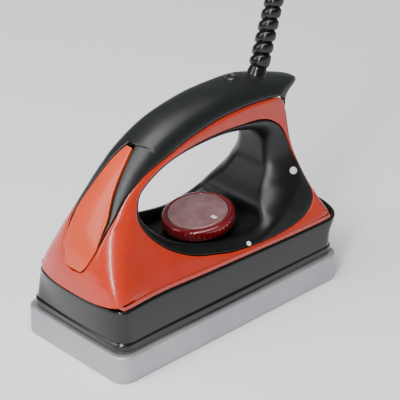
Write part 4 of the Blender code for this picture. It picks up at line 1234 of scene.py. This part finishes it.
# %% Pointer, neck, mark, lens and cap
bm = bmesh.new()
bmesh.ops.create_cube(bm, size=1)
bmesh.ops.scale(bm, verts=bm.verts, vec=(2.2, 3.7, 0.6))
bmesh.ops.bevel(bm, geom=bm.edges[:], offset=0.28, segments=3, profile=0.5, affect="EDGES", material=-1)
bmesh.ops.translate(bm, verts=bm.verts, vec=(0, r - 7.65, t + 1.4))
bmesh.ops.transform(bm, matrix=to_dial, verts=bm.verts)
make_piece("dial_pointer_rib", bm, MARK_WHITE, ["dial_pointer"], "dial", 50.0)

NECK_FOOT = 44.2   # just above the shelf in the opening
collar = [
    (4.6, -8), (10.6, -8), (11.2, -7.8), (14, -3.2), (16.6, -0.9), (17.4, -0.55), (17.4, -0.4), (4.6, -0.4),
    (4.6, -8),
]
bm = turned(collar, DIAL_FOOT, DIAL_AXIS, 72)
bmesh.ops.bisect_plane(
    bm, geom=bm.verts[:] + bm.edges[:] + bm.faces[:], plane_co=(0, 0, NECK_FOOT), plane_no=(0, 0, 1),
    clear_inner=True,
)
bmesh.ops.holes_fill(bm, edges=[e for e in bm.edges if e.is_boundary], sides=0)
make_piece("dial_neck", bm, LINER_BLACK, ["dial_collar"])

LAMP, MARK = (9.6, -0.28), (13.7, -0.3)
spot, normal = Vector(skin_point(*MARK)), Vector(normal_of(skin_point, *MARK))
mark = [(0, 0.25), (1.3, 0.25), (1.35, 0.5), (1.2, 0.72), (0.8, 0.83), (0, 0.86)]
make_piece("set_mark", turned(mark, spot, normal, 32), MARK_WHITE, ["index_mark"])
spot, normal = Vector(skin_point(*LAMP)), Vector(normal_of(skin_point, *LAMP))
lens = [(0, -4), (2.2, -4), (2.2, 0.3), (2.1, 0.7), (1.8, 1.1), (1.3, 1.4), (0.7, 1.6), (0, 1.65)]
make_piece("signal_lens", turned(lens, spot, normal, 40), LENS_CLEAR, ["lamp_lens"])
cap = [(0, -1.4), (3.6, -1.4), (3.6, 0.2), (3.4, 0.55), (3.0, 0.85), (2.4, 0.95), (2.1, 0.6), (0, 0.55)]
plug_spot = (-34, 0, float(outer_edge(25)[1]) + 0.2)
make_piece("screw_cap", turned(cap, plug_spot, steps=40), CAP_BLACK, ["grip_plug"])

# %% [markdown]
# ## The strain relief
# A lead breaks where it bends sharply, so it leaves the handle through a rubber sleeve of rings that bend
# one after another. The sleeve is spun from a profile of rounded rings, and the rings are then sheared a
# little, because on such sleeves each ring leans.

# %% Make the strain relief
RINGS, RING_START, RING_LEAN = 7, 8.0, 0.34
RING_ROUND, RING_GAP = 0.9, 0.6   # how far a ring bulges, and half the gap between two
tip = CORD_DIAMETER / 2
step = (BOOT_LENGTH - RING_START - 4) / RINGS
sleeve = [(0, 0), (BOOT_RADIUS - 0.3, 0), (BOOT_RADIUS, 0.4), (BOOT_RADIUS, 3), (BOOT_RADIUS - 0.3, 5)]
for k in range(RINGS):
    low, wide = RING_START + k * step, BOOT_RADIUS - 0.75 * k / RINGS
    arc = [
        (wide - RING_ROUND + RING_ROUND * math.sin(a), low + step / 2 - (step / 2 - RING_GAP) * math.cos(a))
        for a in np.linspace(0, math.pi, 9)
    ]
    sleeve += [(wide - 1.3, low + 0.1)] + arc
sleeve += [(tip + 0.6, BOOT_LENGTH - 3.2), (tip + 0.9, BOOT_LENGTH - 2.2), (tip + 0.7, BOOT_LENGTH - 0.6)]
sleeve += [(tip + 0.3, BOOT_LENGTH), (0, BOOT_LENGTH)]
bm = turned(sleeve, steps=48)
for spot in bm.verts:
    inside_rings = ease((spot.co.z - RING_START) / 4) * ease((BOOT_LENGTH - 4 - spot.co.z) / 4)
    spot.co.z += RING_LEAN * spot.co.y * inside_rings
to_exit = placed(EXIT - BOOT_DEPTH * EXIT_AXIS, EXIT_AXIS)
bmesh.ops.transform(bm, matrix=to_exit, verts=bm.verts)
boot = make_piece("ringed_sleeve", bm, BOOT_RUBBER, ["strain_relief"], sharp=50.0)

# %% [markdown]
# ## Tie, plug and pins
# The coil is held by a flat strap, and the lead ends in a moulded round plug with two pins. They are seen
# only from behind, but they are finished like the rest, because the iron can be looked at from any side.

# %% Make the tie
bm = bmesh.new()
bmesh.ops.create_cube(bm, size=1)
HALF_COIL, STRAP = 10.5, 1.1   # half the coil's width, and the strap's thickness
outer_side, inner_side = COIL_RADIUS + HALF_COIL + STRAP, COIL_RADIUS - HALF_COIL - STRAP - 0.6
high = 15.2 + STRAP
bmesh.ops.scale(bm, verts=bm.verts, vec=(outer_side - inner_side, 10, high - 0.1))
bmesh.ops.translate(bm, verts=bm.verts, vec=((outer_side + inner_side) / 2, 0, (high + 0.1) / 2))
ends = [f for f in bm.faces if abs(f.normal.y) > 0.9]
bmesh.ops.inset_region(bm, faces=ends, thickness=0.8, use_even_offset=True)
ends = [f for f in bm.faces if abs(f.normal.y) > 0.9 and len(f.verts) == 4]
ends = sorted(ends, key=lambda f: -f.calc_area())[:2]
bmesh.ops.bridge_loops(bm, edges=[e for f in ends for e in f.edges])
bmesh.ops.delete(bm, geom=ends, context="FACES_ONLY")
band_corners = [e for e in bm.edges if abs(e.verts[0].co.y - e.verts[1].co.y) > 8]
bmesh.ops.bevel(bm, geom=band_corners, offset=0.7, segments=4, profile=0.5, affect="EDGES", material=-1)
turn = Matrix.Translation((*COIL_CENTRE, 0)) @ Matrix.Rotation(math.radians(-70), 4, "Z")
bmesh.ops.transform(bm, matrix=turn, verts=bm.verts)
tie = make_piece("coil_strap", bm, NYLON_BLACK, ["coil_tie"], sharp=35.0)

# %% Make the plug and its pins
PLUG_BASE = Vector((-244.2, 2.6, 24.5))
PLUG_AXIS = Vector((-1, 0, 0.215)).normalized()
PLUG_RADIUS, PLUG_GROOVES = 18.5, 24
PIN_START, HALF_PIN_GAP = 56.3, 9.5
plug = [
    (0, 0), (4.3, 0), (4.6, 0.5), (4.9, 3), (4.5, 4), (5.2, 5), (5.4, 8), (5.0, 9), (5.8, 10), (6.0, 13),
    (5.6, 14), (6.3, 15), (6.6, 19), (7.2, 21.8), (9.0, 23.6), (11.5, 25), (12.8, 27.5), (14, 31), (15.2, 36),
    (16, 41), (16.6, 43.4), (17.8, 44.6), (PLUG_RADIUS, 45.6), (PLUG_RADIUS, 54.6), (18.2, 55.5), (17.4, 56),
    (0, 56),
]
bm = turned(plug, steps=96)
for spot in bm.verts:
    radius = math.hypot(spot.co.x, spot.co.y)
    grooves = ease((radius - 14) / 2) * ease((spot.co.z - 45) / 1.5) * ease((54.5 - spot.co.z) / 1.5)
    wave = max(0.0, math.cos(PLUG_GROOVES * math.atan2(spot.co.y, spot.co.x))) ** 2
    pull = 1 - 0.5 * grooves * wave / max(radius, 1.0)
    spot.co.x *= pull
    spot.co.y *= pull
to_plug = placed(PLUG_BASE, PLUG_AXIS)
bmesh.ops.transform(bm, matrix=to_plug, verts=bm.verts)
plug_body = make_piece("mains_plug_body", bm, PLUG_RUBBER, ["plug_body"])
for side, way in (("left", 1), ("right", -1)):
    pin = [(0, 0), (2.4, 0), (2.4, 16.2), (2.3, 17.2), (1.9, 18.1), (1.2, 18.6), (0, 18.7)]
    foot = PLUG_BASE + PIN_START * PLUG_AXIS + Vector((0, way * HALF_PIN_GAP, 0))
    bm = turned(pin, foot, PLUG_AXIS, 32)
    make_piece(f"pin_{side}", bm, NICKEL, [f"plug_pin_{side}"])

lead_mesh.materials.clear()
lead_mesh.materials.append(CORD_RUBBER)

# %% [markdown]
# ## Floor and light
# The floor is one large pale sheet. The light is a studio's: a broad soft box overhead, a tall narrow one
# near the camera that draws the bright line down the nose's corner, a weak one from the right, and a pale
# sky that fills the shadows.

# %% Floor
def pale_floor(name, colour):
    paint = bpy.data.materials.new(name)
    paint.use_nodes = True
    tree = paint.node_tree
    tree.nodes.clear()
    place = tree.nodes.new("ShaderNodeTexCoord")
    place.label = "Where on the floor"
    clouds = tree.nodes.new("ShaderNodeTexNoise")
    clouds.label = "Barely uneven paper"
    clouds.inputs["Scale"].default_value = 2.0
    shades = tree.nodes.new("ShaderNodeValToRGB")
    shades.label = "Two near whites"
    shades.color_ramp.elements[0].color = (*[c * 0.985 for c in colour], 1)
    shades.color_ramp.elements[1].color = (*colour, 1)
    shader = tree.nodes.new("ShaderNodeBsdfPrincipled")
    shader.label = "Paper"
    shader.inputs["Roughness"].default_value = 0.85
    out = tree.nodes.new("ShaderNodeOutputMaterial")
    out.label = "Surface"
    tree.links.new(place.outputs["Object"], clouds.inputs["Vector"])
    tree.links.new(clouds.outputs["Fac"], shades.inputs["Fac"])
    tree.links.new(shades.outputs["Color"], shader.inputs["Base Color"])
    tree.links.new(shader.outputs["BSDF"], out.inputs["Surface"])
    for column, node in enumerate((place, clouds, shades, shader, out)):
        node.location = (column * 220, 0)
    return paint


bm = bmesh.new()
bmesh.ops.create_grid(bm, x_segments=2, y_segments=2, size=6.0)
floor_mesh = bpy.data.meshes.new("floor")
bm.to_mesh(floor_mesh)
bm.free()
floor_mesh.materials.append(pale_floor("floor_paper", (0.80, 0.81, 0.83)))
floor = bpy.data.objects.new("floor", floor_mesh)
bpy.context.scene.collection.objects.link(floor)

# %% Lights
def soft_box(name, azimuth, elevation, distance, size, power, colour=(1, 1, 1), target=(0, 0, 0.06)):
    """An area light that looks at the iron from an azimuth round it, in degrees from the nose."""
    a, e = math.radians(azimuth), math.radians(elevation)
    away = Vector((math.cos(a) * math.cos(e), math.sin(a) * math.cos(e), math.sin(e)))
    data = bpy.data.lights.new(name, "AREA")
    data.shape = "RECTANGLE"
    data.size, data.size_y = size
    data.energy = power
    data.color = colour
    lamp = bpy.data.objects.new(name, data)
    lamp.rotation_mode = "QUATERNION"
    lamp.location = Vector(target) + distance * away
    lamp.rotation_quaternion = away.to_track_quat("Z", "Y")
    bpy.context.scene.collection.objects.link(lamp)
    return lamp


soft_box("overhead", 10, 78, 1.6, (1.5, 1.5), 38)
soft_box("nose_strip", 27, 32, 1.3, (0.12, 1.1), 14)
soft_box("nose_side", -25, 30, 1.7, (0.9, 1.1), 11)
world = bpy.data.worlds.new("pale_sky")
world.use_nodes = True
world.node_tree.nodes["Background"].inputs["Color"].default_value = (0.93, 0.95, 1.0, 1)
world.node_tree.nodes["Background"].inputs["Strength"].default_value = 0.22
bpy.context.scene.world = world
